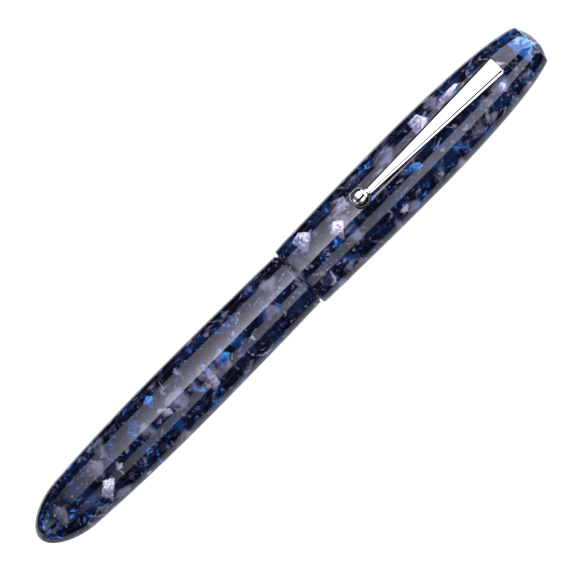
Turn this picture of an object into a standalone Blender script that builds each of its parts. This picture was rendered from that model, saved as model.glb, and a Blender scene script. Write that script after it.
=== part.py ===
"""A capped fountain pen, built as separate pieces on one long axis.

The pen lies along X with its clip up. A station is the distance along the pen from the
barrel's round end, and a height is measured up from the pen's axis. Stations, radii and
heights are in millimetres, and the helpers below turn them into metres.
"""

import math

import bmesh
import bpy
from mathutils import Matrix

MM = 0.001
MERGE = 0.01 * MM

# Driving dimensions
PEN_LENGTH = 149.0
CAP_RADIUS = 8.15
BARREL_RADIUS = 7.40
SHELL_STEPS = 40
CORE_STEPS = 24
THROUGH = 8.0  # length of a cutter that goes right through a wall
CUT_MARGIN = 1.0  # how far a cutter starts outside the piece it cuts

# Barrel: a belly that falls away to both ends, a round nose, and a tenon for the cap's thread
BARREL_BELLY = 42.3
BARREL_REAR_FALL = 0.00104
BARREL_FRONT_FALL = 0.00037
BARREL_BANDS = 8
NOSE_LENGTH = 10.8
NOSE_BANDS = 7
SHOULDER = 77.7
EDGE_BREAK = 0.15
TENON_RADIUS = 6.50
TENON_END = 86.4
BARREL_BORE_RADIUS = 4.70
BARREL_BORE_START = 13.0
DRILL_POINT = 2.7
SECTION_SEAT_START = 77.0
SECTION_SEAT_RADIUS = 4.95

# Cap shell: widest at its belly, rounded lip, shallow domed crown
LIP = 77.95
LIP_ROUND = 0.4
LIP_ROUND_BANDS = 3
CAP_BELLY = 112.0
CAP_LIP_FALL = 0.0005
CAP_LIP_BANDS = 4
CROWN_CORNER = 147.4
CROWN_FALL = 1.95
CROWN_TURN = 1.05
CROWN_TURN_POWER = 7
CROWN_BANDS = 8
DOME_FALL = 0.065
DOME_RADIUS = 4.7
DOME_BANDS = 3
CAP_THREAD_RADIUS = 6.62
CAP_THREAD_END = 88.0
CAP_BORE_RADIUS = 6.35
LINER_SEAT_START = 105.3
LINER_SEAT_RADIUS = 6.10
LINER_SEAT_END = 134.3
CROWN_CHAMBER_RADIUS = 4.6
CROWN_CHAMBER_END = 139.4
SCREW_HOLE_RADIUS = 1.1
SCREW_HOLE_END = 144.6

# Inner cap: a cup that seals against the end of the section
LINER_MOUTH = 105.6
LINER_FLOOR = 132.8
LINER_END = 134.0
LINER_OUTER_RADIUS = 5.95
LINER_INNER_RADIUS = 4.85
LINER_LEAD_IN = 0.3

# Clip: a strip with chamfered long edges, a leg through the cap's wall and a tab inside
CLIP_ROOT = 139.25
CLIP_TONGUE = 100.2
CLIP_ROOT_WIDTH = 4.9
CLIP_TONGUE_WIDTH = 1.4
CLIP_THICKNESS = 0.8
CLIP_ROOT_HEIGHT = 7.05
CLIP_RISE = 0.0818
CLIP_CHAMFER = 0.45
LEG_THICKNESS = 0.6
LEG_INSET = 0.05
LEG_REACH = 0.3  # how far the leg runs up into the blade
TAB_RADIUS = 2.4
TAB_HOLE_RADIUS = 1.15
CLIP_PIVOT_STATION = 138.9
CLIP_PIVOT_HEIGHT = 7.2
SLOT_GAP = 0.15
SLOT_BOTTOM = 3.0
SLOT_TOP = 9.0
BALL_STATION = 98.9
BALL_HEIGHT = 10.3
BALL_RADIUS = 2.12
BALL_SEGMENTS = 20
BALL_RINGS = 12
POCKET_GAP = 0.06

# Clip screw: head inside the crown chamber, clear of the tab when the clip flexes
SCREW_HEAD_START = 136.8
SCREW_HEAD_END = 138.05
SCREW_HEAD_RADIUS = 1.9
SCREW_SHANK_RADIUS = 1.0
SCREW_END = 144.3
DRIVER_SLOT_WIDTH = 0.5
DRIVER_SLOT_DEPTH = 0.6

# Section: tenon into the barrel, waisted grip, bore for the nib unit
SECTION_REAR = 79.2
SECTION_TENON_RADIUS = 4.85
SECTION_SHOULDER = 86.7
SECTION_SHOULDER_RADIUS = 6.0
SECTION_WAIST = 100.6
SECTION_WAIST_RADIUS = 4.9
SECTION_FLARE = 104.4
SECTION_FLARE_RADIUS = 5.35
SECTION_FRONT = 105.3
SECTION_LIP_RADIUS = 4.95
GRIP_BANDS = 6
GRIP_POWER = 1.5
FLARE_BANDS = 3
MOUTH_SEAT_RADIUS = 3.95
HOUSING_SEAT_START = 92.0
HOUSING_SEAT_RADIUS = 3.75
FLANGE_SEAT_START = 104.4
FLANGE_SEAT_RADIUS = 4.15

# Nib housing: threaded collar, front flange, rear nipple
NIPPLE_REAR = 86.5
NIPPLE_RADIUS = 1.25
NIPPLE_BORE_RADIUS = 0.55
HOUSING_REAR = 92.4
HOUSING_RADIUS = 3.65
HOUSING_FLANGE_START = 104.6
HOUSING_FRONT = 105.6
HOUSING_FLANGE_RADIUS = 4.0
NIB_SEAT_START = 95.1
NIB_SEAT_RADIUS = 3.25

# Feed: round root, fins, and a nose that tapers under the nib
FEED_REAR = 95.4
FEED_RADIUS = 2.82
FIN_START = 106.4
FIN_PITCH = 0.9
FIN_SLOT = 0.45
FIN_COUNT = 7
FIN_ROOT_RADIUS = 1.9
FEED_SHOULDER = 113.2
FEED_TIP = 123.0
FEED_TIP_RADIUS = 0.5
FEED_NOSE_BANDS = 3
FEED_NOSE_POWER = 0.8
FEED_CUT_START = 106.5
FEED_CUT_HEIGHT = 2.60
FEED_CUT_FALL = 0.15
FEED_CUT_BACK = 5.0
FEED_CUT_FORWARD = 25.0
FEED_CUT_REACH = 5.0

# Nib: 0.3 mm sheet, a rolled tail, broad shoulders and a slit point
NIB_THICKNESS = 0.3
NIB_TAIL = 95.5
NIB_NECK = 105.9
NIB_SHOULDER = 110.5
NIB_END = 127.0
NIB_TAIL_HALF = 3.08
NIB_TAIL_CURVE = 3.2
NIB_SHOULDER_HALF = 4.35
NIB_SHOULDER_CURVE = 4.7
NIB_POINT_HALF = 0.45
NIB_POINT_CURVE = 3.4
NIB_TAPER_POWER = 1.45
NIB_BEND = 107.5
NIB_DROP = 2.1
NIB_DROP_POWER = 1.3
NIB_SHOULDER_BANDS = 3
NIB_TAPER_BANDS = 8
NIB_COLUMNS = 8
BREATHER = 114.5
BREATHER_RADIUS = 0.6
SLIT_WIDTH = 0.16
PELLET_STATION = 127.5
PELLET_RADIUS = 0.44
PELLET_SINK = 0.15
PELLET_SEGMENTS = 12
PELLET_RINGS = 8

# Converter: mouth, clear tube, ferrule, guide disc, knob, spindle
MOUTH_REAR = 82.5
MOUTH_STEP = 85.95
MOUTH_FRONT = 92.1
MOUTH_RADIUS = 3.7
MOUTH_TENON_RADIUS = 2.85
MOUTH_PASSAGE_RADIUS = 0.6
MOUTH_SOCKET_START = 86.3
MOUTH_SOCKET_RADIUS = 1.35
TUBE_REAR = 52.0
TUBE_FRONT = 85.7
TUBE_OUTER_RADIUS = 3.4
TUBE_INNER_RADIUS = 2.95
FERRULE_REAR = 38.0
FERRULE_LIP_END = 38.7
FERRULE_LIP_RADIUS = 3.0
FERRULE_FRONT = 55.0
FERRULE_OUTER_RADIUS = 3.75
FERRULE_INNER_RADIUS = 3.5
GUIDE_REAR = 48.0
GUIDE_FRONT = 51.8
GUIDE_RADIUS = 3.4
GUIDE_HOLE_RADIUS = 1.85
GUIDE_FLAT = 1.45
GUIDE_HOLE_BANDS = 5
KNOB_REAR = 22.0
KNOB_GRIP_END = 37.6
KNOB_RADIUS = 3.6
KNOB_EDGE = 0.5
KNOB_NECK_RADIUS = 2.85
KNOB_FLANGE_START = 39.0
KNOB_FLANGE_END = 47.7
KNOB_FLANGE_RADIUS = 3.35
KNOB_FLOOR = 24.0
KNOB_BORE_RADIUS = 2.2
SPINDLE_REAR = 24.2
SPINDLE_HEAD_END = 25.0
SPINDLE_HEAD_RADIUS = 2.0
SPINDLE_RADIUS = 0.9
SPINDLE_FRONT = 56.0

# Piston: flatted plunger with a bored shaft, and its rubber seal
PLUNGER_REAR = 49.0
PLUNGER_RADIUS = 1.7
PLUNGER_FLAT = 1.35
PLUNGER_FLAT_SHORT = 0.01  # how far the flats stop short of the head
PLUNGER_BORE_RADIUS = 1.05
PLUNGER_BORE_END = 78.5
PLUNGER_HEAD_START = 79.3
SEAL_GROOVE_START = 79.7
SEAL_GROOVE_END = 81.9
PLUNGER_FRONT = 82.2
PLUNGER_HEAD_RADIUS = 2.6
SEAL_GROOVE_RADIUS = 1.95
SEAL_OUTER_RADIUS = 2.9
SEAL_WAIST_RADIUS = 2.6
SEAL_GAP = 0.1
SEAL_LIP_SHARE = 0.25  # each lip's share of the seal's width
SEAL_WAIST_SHARE = 0.375


def clear_scene():
    for old in list(bpy.data.objects):
        bpy.data.objects.remove(old, do_unlink=True)


def collection(name):
    made = bpy.data.collections.new(name)
    bpy.context.scene.collection.children.link(made)
    return made


def empty(name, location, rotation=(0.0, 0.0, 0.0), parent=None):
    guide = bpy.data.objects.new(name, None)
    guide.location = [value * MM for value in location]
    guide.rotation_euler = rotation
    guide.parent = parent
    PIECES.objects.link(guide)
    return guide


def material(name, colour, roughness, metallic=0.0, alpha=1.0):
    made = bpy.data.materials.new(name)
    made.use_nodes = True
    shader = made.node_tree.nodes["Principled BSDF"]
    shader.inputs["Base Color"].default_value = (*colour, 1.0)
    shader.inputs["Roughness"].default_value = roughness
    shader.inputs["Metallic"].default_value = metallic
    shader.inputs["Alpha"].default_value = alpha
    return made


def piece(name, mesh, parent, finish):
    """A named sub-part with its own material."""
    made = bpy.data.objects.new(name, mesh)
    made.parent = parent
    mesh.materials.append(finish)
    PIECES.objects.link(made)
    return made


def cutter(name, mesh, parent):
    """A guide solid that other pieces are cut by or joined with."""
    made = bpy.data.objects.new(name, mesh)
    made.parent = parent
    made.hide_render = True
    made.display_type = "WIRE"
    CUTTERS.objects.link(made)
    return made


def combine(target, other, operation):
    boolean = target.modifiers.new(f"{operation.lower()}_{other.name}", "BOOLEAN")
    boolean.object = other
    boolean.operation = operation
    boolean.solver = "EXACT"


def lathe_mesh(name, path):
    """The profile as a line of edges. It is closed unless both its ends lie on the axis."""
    points = [(radius * MM, 0.0, station * MM) for station, radius in path]
    edges = [(i, i + 1) for i in range(len(points) - 1)]
    if path[0][1] > 0.0 and path[-1][1] > 0.0:
        edges.append((len(points) - 1, 0))
    mesh = bpy.data.meshes.new(name)
    mesh.from_pydata(points, edges, [])
    return mesh


def turned(name, path, finish, steps=CORE_STEPS):
    """A turned piece. Its path runs back along the outside, from the crown's end to the nose's."""
    made = piece(name, lathe_mesh(name, path), LATHE_AXIS, finish)
    screw = made.modifiers.new("turn", "SCREW")
    screw.axis = "Z"
    screw.angle = 2.0 * math.pi
    screw.steps = steps
    screw.render_steps = steps
    screw.use_merge_vertices = True
    screw.merge_threshold = MERGE
    screw.use_smooth_shade = True
    return made


def box_mesh(name, low, high):
    """A box between two corners, each a station, a side distance and a height."""
    bm = bmesh.new()
    bmesh.ops.create_cube(bm, size=1.0)
    size = [(b - a) * MM for a, b in zip(low, high)]
    middle = [(a + b) / 2.0 * MM for a, b in zip(low, high)]
    bm.transform(Matrix.Translation(middle) @ Matrix.Diagonal((*size, 1.0)))
    mesh = bpy.data.meshes.new(name)
    bm.to_mesh(mesh)
    bm.free()
    return mesh


def rod_mesh(name, radius, length, middle, turn):
    """A round rod about a middle point. Its axis is up until turn tips it."""
    bm = bmesh.new()
    bmesh.ops.create_cone(
        bm, cap_ends=True, segments=CORE_STEPS,
        radius1=radius * MM, radius2=radius * MM, depth=length * MM,
    )
    bm.transform(Matrix.Translation([value * MM for value in middle]) @ turn)
    mesh = bpy.data.meshes.new(name)
    bm.to_mesh(mesh)
    bm.free()
    return mesh


def ball_mesh(name, radius, middle, segments, rings):
    bm = bmesh.new()
    bmesh.ops.create_uvsphere(bm, u_segments=segments, v_segments=rings, radius=radius * MM)
    bm.transform(Matrix.Translation([value * MM for value in middle]))
    mesh = bpy.data.meshes.new(name)
    bm.to_mesh(mesh)
    bm.free()
    mesh.shade_smooth()
    return mesh


def spread(start, end, bands):
    """Evenly spaced values from start to end, both included."""
    return [start + (end - start) * i / bands for i in range(bands + 1)]


def barrel_radius(station):
    fall = BARREL_REAR_FALL if station < BARREL_BELLY else BARREL_FRONT_FALL
    return BARREL_RADIUS - fall * (station - BARREL_BELLY) ** 2


def cap_radius(station):
    if station < CAP_BELLY:
        return CAP_RADIUS - CAP_LIP_FALL * (station - CAP_BELLY) ** 2
    reach = (station - CAP_BELLY) / (CROWN_CORNER - CAP_BELLY)
    return CAP_RADIUS - CROWN_FALL * reach**2 - CROWN_TURN * reach**CROWN_TURN_POWER


def barrel():
    body = [(s, barrel_radius(s)) for s in spread(SHOULDER - EDGE_BREAK, NOSE_LENGTH, BARREL_BANDS)]
    nose = []
    for angle in spread(math.pi / 2.0, 0.0, NOSE_BANDS)[1:]:
        station = NOSE_LENGTH * (1.0 - math.cos(angle))
        nose.append((station, barrel_radius(station) * math.sin(angle)))
    bore = [
        (BARREL_BORE_START - DRILL_POINT, 0.0),
        (BARREL_BORE_START, BARREL_BORE_RADIUS),
        (SECTION_SEAT_START, BARREL_BORE_RADIUS),
        (SECTION_SEAT_START, SECTION_SEAT_RADIUS),
        (TENON_END, SECTION_SEAT_RADIUS),
    ]
    tenon = [
        (TENON_END, TENON_RADIUS - EDGE_BREAK),
        (TENON_END - EDGE_BREAK, TENON_RADIUS),
        (SHOULDER, TENON_RADIUS),
        (SHOULDER, barrel_radius(SHOULDER) - EDGE_BREAK),
    ]
    turned("barrel", bore + tenon + body + nose, NAVY_RESIN, SHELL_STEPS)


def cap_shell():
    dome = [(PEN_LENGTH - DOME_FALL * r * r, r) for r in spread(0.0, DOME_RADIUS, DOME_BANDS)]
    crown = []
    for step in range(CROWN_BANDS + 1):
        reach = 1.0 - (step / CROWN_BANDS) ** 2
        station = CAP_BELLY + (CROWN_CORNER - CAP_BELLY) * reach
        crown.append((station, cap_radius(station)))
    skirt = [
        (s, cap_radius(s)) for s in spread(CAP_BELLY, LIP + LIP_ROUND, CAP_LIP_BANDS)[1:]
    ]
    lip_radius = cap_radius(LIP + LIP_ROUND) - LIP_ROUND
    lip = [
        (
            LIP + LIP_ROUND * (1.0 - math.cos(angle)),
            lip_radius + LIP_ROUND * math.sin(angle),
        )
        for angle in spread(math.pi / 2.0, 0.0, LIP_ROUND_BANDS)[1:]
    ]
    bore = [
        (LIP, CAP_THREAD_RADIUS),
        (CAP_THREAD_END, CAP_THREAD_RADIUS),
        (CAP_THREAD_END, CAP_BORE_RADIUS),
        (LINER_SEAT_START, CAP_BORE_RADIUS),
        (LINER_SEAT_START, LINER_SEAT_RADIUS),
        (LINER_SEAT_END, LINER_SEAT_RADIUS),
        (LINER_SEAT_END, CROWN_CHAMBER_RADIUS),
        (CROWN_CHAMBER_END, CROWN_CHAMBER_RADIUS),
        (CROWN_CHAMBER_END, SCREW_HOLE_RADIUS),
        (SCREW_HOLE_END, SCREW_HOLE_RADIUS),
        (SCREW_HOLE_END, 0.0),
    ]
    shell = turned("cap_shell", dome + crown + skirt + lip + bore, NAVY_RESIN, SHELL_STEPS)
    leg_front = CLIP_ROOT - LEG_INSET
    half = CLIP_ROOT_WIDTH / 2.0 + SLOT_GAP
    slot = box_mesh(
        "clip_slot",
        (leg_front - LEG_THICKNESS - SLOT_GAP, -half, SLOT_BOTTOM),
        (leg_front + SLOT_GAP, half, SLOT_TOP),
    )
    combine(shell, cutter("clip_slot", slot, PEN_AXIS), "DIFFERENCE")


def inner_cap():
    path = [
        (LINER_END, 0.0),
        (LINER_END, LINER_OUTER_RADIUS),
        (LINER_MOUTH, LINER_OUTER_RADIUS),
        (LINER_MOUTH, LINER_INNER_RADIUS + LINER_LEAD_IN),
        (LINER_MOUTH + LINER_LEAD_IN, LINER_INNER_RADIUS),
        (LINER_FLOOR, LINER_INNER_RADIUS),
        (LINER_FLOOR, 0.0),
    ]
    turned("inner_cap", path, BLACK_PLASTIC)


def clip_under(station):
    """Height of the clip blade's underside."""
    return CLIP_ROOT_HEIGHT + (CLIP_ROOT - station) * CLIP_RISE


def clip():
    mesh = box_mesh("clip", (CLIP_TONGUE, -0.5, 0.0), (CLIP_ROOT, 0.5, CLIP_THICKNESS))
    bm = bmesh.new()
    bm.from_mesh(mesh)
    middle = (CLIP_TONGUE + CLIP_ROOT) / 2.0 * MM
    tops = []
    for vertex in bm.verts:
        at_root = vertex.co.x > middle
        vertex.co.y *= CLIP_ROOT_WIDTH if at_root else CLIP_TONGUE_WIDTH
        if vertex.co.z > 0.0:
            tops.append(vertex)
        vertex.co.z += clip_under(CLIP_ROOT if at_root else CLIP_TONGUE) * MM
    weight = bm.edges.layers.float.new("bevel_weight_edge")
    for edge in bm.edges:
        on_top = all(vertex in tops for vertex in edge.verts)
        lengthwise = abs(edge.verts[0].co.x - edge.verts[1].co.x) > CLIP_THICKNESS * MM
        edge[weight] = 1.0 if on_top and lengthwise else 0.0
    bm.transform(Matrix.Translation([-value for value in CLIP_HINGE.location]))
    bm.to_mesh(mesh)
    bm.free()
    blade = piece("clip", mesh, CLIP_HINGE, POLISHED_STEEL)
    chamfer = blade.modifiers.new("chamfer", "BEVEL")
    chamfer.limit_method = "WEIGHT"
    chamfer.width = CLIP_CHAMFER * MM
    chamfer.segments = 1
    leg_front = CLIP_ROOT - LEG_INSET
    leg_rear = leg_front - LEG_THICKNESS
    leg_top = CLIP_ROOT_HEIGHT + LEG_REACH
    half = CLIP_ROOT_WIDTH / 2.0
    leg = box_mesh("clip_leg", (leg_rear, -half, 0.0), (leg_front, half, leg_top))
    combine(blade, cutter("clip_leg", leg, PEN_AXIS), "UNION")
    across = Matrix.Rotation(math.pi / 2.0, 4, "Y")
    leg_middle = ((leg_rear + leg_front) / 2.0, 0.0, 0.0)
    tab = rod_mesh("clip_tab", TAB_RADIUS, LEG_THICKNESS, leg_middle, across)
    combine(blade, cutter("clip_tab", tab, PEN_AXIS), "UNION")
    hole = rod_mesh("clip_hole", TAB_HOLE_RADIUS, THROUGH / 2.0, leg_middle, across)
    combine(blade, cutter("clip_hole", hole, PEN_AXIS), "DIFFERENCE")


def clip_ball():
    """The ball on the blade's end. Its pocket for the blade is open on top and behind."""
    place = (BALL_STATION, 0.0, BALL_HEIGHT)
    mesh = ball_mesh("clip_ball", BALL_RADIUS, place, BALL_SEGMENTS, BALL_RINGS)
    mesh.transform(Matrix.Translation([-value for value in CLIP_HINGE.location]))
    ball = piece("clip_ball", mesh, CLIP_HINGE, POLISHED_STEEL)
    under = clip_under(CLIP_TONGUE) - (BALL_RADIUS * CLIP_RISE) - POCKET_GAP
    half = CLIP_TONGUE_WIDTH / 2.0 + 2.0 * POCKET_GAP
    pocket = box_mesh(
        "ball_pocket",
        (CLIP_TONGUE - POCKET_GAP, -half, under),
        (CLIP_TONGUE + BALL_RADIUS, half, BALL_HEIGHT + BALL_RADIUS),
    )
    combine(ball, cutter("ball_pocket", pocket, PEN_AXIS), "DIFFERENCE")


def clip_screw():
    path = [
        (SCREW_END, 0.0),
        (SCREW_END, SCREW_SHANK_RADIUS - EDGE_BREAK),
        (SCREW_END - EDGE_BREAK, SCREW_SHANK_RADIUS),
        (SCREW_HEAD_END, SCREW_SHANK_RADIUS),
        (SCREW_HEAD_END, SCREW_HEAD_RADIUS),
        (SCREW_HEAD_START + EDGE_BREAK, SCREW_HEAD_RADIUS),
        (SCREW_HEAD_START, SCREW_HEAD_RADIUS - EDGE_BREAK),
        (SCREW_HEAD_START, 0.0),
    ]
    screw = turned("clip_screw", path, POLISHED_STEEL)
    reach = SCREW_HEAD_RADIUS + CUT_MARGIN
    slot = box_mesh(
        "driver_slot",
        (SCREW_HEAD_START - CUT_MARGIN, -DRIVER_SLOT_WIDTH / 2.0, -reach),
        (SCREW_HEAD_START + DRIVER_SLOT_DEPTH, DRIVER_SLOT_WIDTH / 2.0, reach),
    )
    combine(screw, cutter("driver_slot", slot, PEN_AXIS), "DIFFERENCE")


def section():
    grip = []
    for station in spread(SECTION_WAIST, SECTION_SHOULDER, GRIP_BANDS)[1:]:
        reach = (SECTION_WAIST - station) / (SECTION_WAIST - SECTION_SHOULDER)
        rise = SECTION_SHOULDER_RADIUS - SECTION_WAIST_RADIUS
        grip.append((station, SECTION_WAIST_RADIUS + rise * reach**GRIP_POWER))
    flare = []
    for station in spread(SECTION_FLARE, SECTION_WAIST, FLARE_BANDS):
        reach = (station - SECTION_WAIST) / (SECTION_FLARE - SECTION_WAIST)
        rise = SECTION_FLARE_RADIUS - SECTION_WAIST_RADIUS
        flare.append((station, SECTION_WAIST_RADIUS + rise * reach**2))
    outside = [
        (SECTION_FRONT, SECTION_LIP_RADIUS),
        ((SECTION_FRONT + SECTION_FLARE) / 2.0 + EDGE_BREAK, SECTION_FLARE_RADIUS - EDGE_BREAK),
        *flare,
        *grip,
        (SECTION_SHOULDER, SECTION_TENON_RADIUS),
        (SECTION_REAR + EDGE_BREAK, SECTION_TENON_RADIUS),
        (SECTION_REAR, SECTION_TENON_RADIUS - EDGE_BREAK),
    ]
    bore = [
        (SECTION_REAR, MOUTH_SEAT_RADIUS),
        (HOUSING_SEAT_START, MOUTH_SEAT_RADIUS),
        (HOUSING_SEAT_START, HOUSING_SEAT_RADIUS),
        (FLANGE_SEAT_START, HOUSING_SEAT_RADIUS),
        (FLANGE_SEAT_START, FLANGE_SEAT_RADIUS),
        (SECTION_FRONT, FLANGE_SEAT_RADIUS),
    ]
    turned("section", outside + bore, NAVY_RESIN, SHELL_STEPS)


def nib_housing():
    path = [
        (HOUSING_FRONT, NIB_SEAT_RADIUS),
        (HOUSING_FRONT, HOUSING_FLANGE_RADIUS - EDGE_BREAK),
        (HOUSING_FRONT - EDGE_BREAK, HOUSING_FLANGE_RADIUS),
        (HOUSING_FLANGE_START, HOUSING_FLANGE_RADIUS),
        (HOUSING_FLANGE_START, HOUSING_RADIUS),
        (HOUSING_REAR, HOUSING_RADIUS),
        (HOUSING_REAR, NIPPLE_RADIUS),
        (NIPPLE_REAR, NIPPLE_RADIUS),
        (NIPPLE_REAR, NIPPLE_BORE_RADIUS),
        (NIB_SEAT_START, NIPPLE_BORE_RADIUS),
        (NIB_SEAT_START, NIB_SEAT_RADIUS),
    ]
    turned("nib_housing", path, BLACK_PLASTIC)


def feed():
    nose = []
    for station in spread(FEED_TIP, FEED_SHOULDER, FEED_NOSE_BANDS):
        reach = (FEED_TIP - station) / (FEED_TIP - FEED_SHOULDER)
        rise = FEED_RADIUS - FEED_TIP_RADIUS
        nose.append((station, FEED_TIP_RADIUS + rise * reach**FEED_NOSE_POWER))
    fins = []
    for index in reversed(range(FIN_COUNT)):
        rear = FIN_START + index * FIN_PITCH
        front = rear + FIN_SLOT
        fins += [
            (front, FEED_RADIUS),
            (front, FIN_ROOT_RADIUS),
            (rear, FIN_ROOT_RADIUS),
            (rear, FEED_RADIUS),
        ]
    root = [(FEED_REAR, FEED_RADIUS), (FEED_REAR, 0.0)]
    made = turned("feed", [(FEED_TIP, 0.0)] + nose + fins + root, BLACK_PLASTIC)
    mesh = box_mesh(
        "feed_top_cut",
        (-FEED_CUT_BACK, -FEED_CUT_REACH, 0.0),
        (FEED_CUT_FORWARD, FEED_CUT_REACH, FEED_CUT_REACH),
    )
    tilt = Matrix.Rotation(math.atan(FEED_CUT_FALL), 4, "Y")
    place = Matrix.Translation((FEED_CUT_START * MM, 0.0, FEED_CUT_HEIGHT * MM))
    mesh.transform(place @ tilt)
    combine(made, cutter("feed_top_cut", mesh, PEN_AXIS), "DIFFERENCE")


def nib_crest(station):
    """Height of the nib's ridge line."""
    if station <= NIB_BEND:
        return NIB_TAIL_CURVE
    reach = (station - NIB_BEND) / (NIB_END - NIB_BEND)
    return NIB_TAIL_CURVE - NIB_DROP * reach**NIB_DROP_POWER


def nib_section(station):
    """Half width and radius of curvature of the sheet at a station."""
    if station <= NIB_NECK:
        return NIB_TAIL_HALF, NIB_TAIL_CURVE
    if station <= NIB_SHOULDER:
        reach = (station - NIB_NECK) / (NIB_SHOULDER - NIB_NECK)
        ease = reach * reach * (3.0 - 2.0 * reach)
        half = NIB_TAIL_HALF + (NIB_SHOULDER_HALF - NIB_TAIL_HALF) * ease
        return half, NIB_TAIL_CURVE + (NIB_SHOULDER_CURVE - NIB_TAIL_CURVE) * ease
    reach = (NIB_END - station) / (NIB_END - NIB_SHOULDER)
    half = NIB_POINT_HALF + (NIB_SHOULDER_HALF - NIB_POINT_HALF) * reach**NIB_TAPER_POWER
    return half, NIB_POINT_CURVE + (NIB_SHOULDER_CURVE - NIB_POINT_CURVE) * reach


def nib():
    stations = [NIB_TAIL]
    stations += spread(NIB_NECK, NIB_SHOULDER, NIB_SHOULDER_BANDS)
    stations += spread(NIB_SHOULDER, NIB_END, NIB_TAPER_BANDS)[1:]
    points, faces = [], []
    for station in stations:
        half, curve = nib_section(station)
        limit = math.asin(half / curve)
        for angle in spread(-limit, limit, NIB_COLUMNS):
            height = nib_crest(station) - curve * (1.0 - math.cos(angle))
            points.append((station * MM, curve * math.sin(angle) * MM, height * MM))
    row = NIB_COLUMNS + 1
    for i in range(len(stations) - 1):
        for j in range(NIB_COLUMNS):
            corner = i * row + j
            faces.append((corner, corner + row, corner + row + 1, corner + 1))
    mesh = bpy.data.meshes.new("nib")
    mesh.from_pydata(points, [], faces)
    made = piece("nib", mesh, PEN_AXIS, POLISHED_STEEL)
    sheet = made.modifiers.new("sheet", "SOLIDIFY")
    sheet.thickness = NIB_THICKNESS * MM
    sheet.offset = -1.0
    upright = Matrix.Identity(4)
    hole = rod_mesh("breather", BREATHER_RADIUS, THROUGH, (BREATHER, 0.0, 0.0), upright)
    combine(made, cutter("breather", hole, PEN_AXIS), "DIFFERENCE")
    slit = box_mesh(
        "nib_slit",
        (BREATHER, -SLIT_WIDTH / 2.0, -THROUGH / 2.0),
        (NIB_END + CUT_MARGIN, SLIT_WIDTH / 2.0, THROUGH / 2.0),
    )
    combine(made, cutter("nib_slit", slit, PEN_AXIS), "DIFFERENCE")


def nib_tips():
    """The tipping pellet, split by the slit into a half on each tine."""
    height = nib_crest(NIB_END) - PELLET_SINK
    place = (PELLET_STATION, 0.0, height)
    for name, side in (("nib_tip_left", 1.0), ("nib_tip_right", -1.0)):
        mesh = ball_mesh(name, PELLET_RADIUS, place, PELLET_SEGMENTS, PELLET_RINGS)
        made = piece(name, mesh, PEN_AXIS, TIPPING)
        inner = side * SLIT_WIDTH / 2.0
        low, high = sorted((inner, -side * CUT_MARGIN))
        halve = box_mesh(
            f"{name}_cut",
            (PELLET_STATION - CUT_MARGIN, low, height - CUT_MARGIN),
            (PELLET_STATION + CUT_MARGIN, high, height + CUT_MARGIN),
        )
        combine(made, cutter(f"{name}_cut", halve, PEN_AXIS), "DIFFERENCE")


def converter_mouth():
    path = [
        (MOUTH_FRONT, MOUTH_SOCKET_RADIUS),
        (MOUTH_FRONT, MOUTH_RADIUS - EDGE_BREAK),
        (MOUTH_FRONT - EDGE_BREAK, MOUTH_RADIUS),
        (MOUTH_STEP, MOUTH_RADIUS),
        (MOUTH_STEP, MOUTH_TENON_RADIUS),
        (MOUTH_REAR, MOUTH_TENON_RADIUS),
        (MOUTH_REAR, MOUTH_PASSAGE_RADIUS),
        (MOUTH_SOCKET_START, MOUTH_PASSAGE_RADIUS),
        (MOUTH_SOCKET_START, MOUTH_SOCKET_RADIUS),
    ]
    turned("converter_mouth", path, BLACK_PLASTIC)


def converter_tube():
    path = [
        (TUBE_FRONT, TUBE_INNER_RADIUS),
        (TUBE_FRONT, TUBE_OUTER_RADIUS),
        (TUBE_REAR, TUBE_OUTER_RADIUS),
        (TUBE_REAR, TUBE_INNER_RADIUS),
    ]
    turned("converter_tube", path, CLEAR_PLASTIC)


def converter_ferrule():
    path = [
        (FERRULE_FRONT, FERRULE_INNER_RADIUS),
        (FERRULE_FRONT, FERRULE_OUTER_RADIUS),
        (FERRULE_REAR, FERRULE_OUTER_RADIUS),
        (FERRULE_REAR, FERRULE_LIP_RADIUS),
        (FERRULE_LIP_END, FERRULE_LIP_RADIUS),
        (FERRULE_LIP_END, FERRULE_INNER_RADIUS),
    ]
    turned("converter_ferrule", path, POLISHED_STEEL)


def double_d(radius, flat, steps):
    """A circle with two opposite sides cut flat, as side distances and heights."""
    corner = math.acos(flat / radius)
    points = []
    for start in (corner, corner + math.pi):
        for angle in spread(start, start + math.pi - 2.0 * corner, steps):
            points.append((radius * math.sin(angle), radius * math.cos(angle)))
    return points


def converter_guide():
    """A disc whose hole keeps the plunger from turning, drawn flat and extruded."""
    circle = [
        (GUIDE_RADIUS * math.cos(angle), GUIDE_RADIUS * math.sin(angle))
        for angle in spread(0.0, 2.0 * math.pi, CORE_STEPS)[:-1]
    ]
    drawing = bpy.data.curves.new("converter_guide", "CURVE")
    drawing.dimensions = "2D"
    drawing.fill_mode = "BOTH"
    drawing.extrude = (GUIDE_FRONT - GUIDE_REAR) / 2.0 * MM
    for outline in (circle, double_d(GUIDE_HOLE_RADIUS, GUIDE_FLAT, GUIDE_HOLE_BANDS)):
        spline = drawing.splines.new("POLY")
        spline.points.add(len(outline) - 1)
        for point, (x, y) in zip(spline.points, outline):
            point.co = (x * MM, y * MM, 0.0, 1.0)
        spline.use_cyclic_u = True
    made = piece("converter_guide", drawing, LATHE_AXIS, GREY_PLASTIC)
    made.location.z = (GUIDE_FRONT + GUIDE_REAR) / 2.0 * MM


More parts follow.
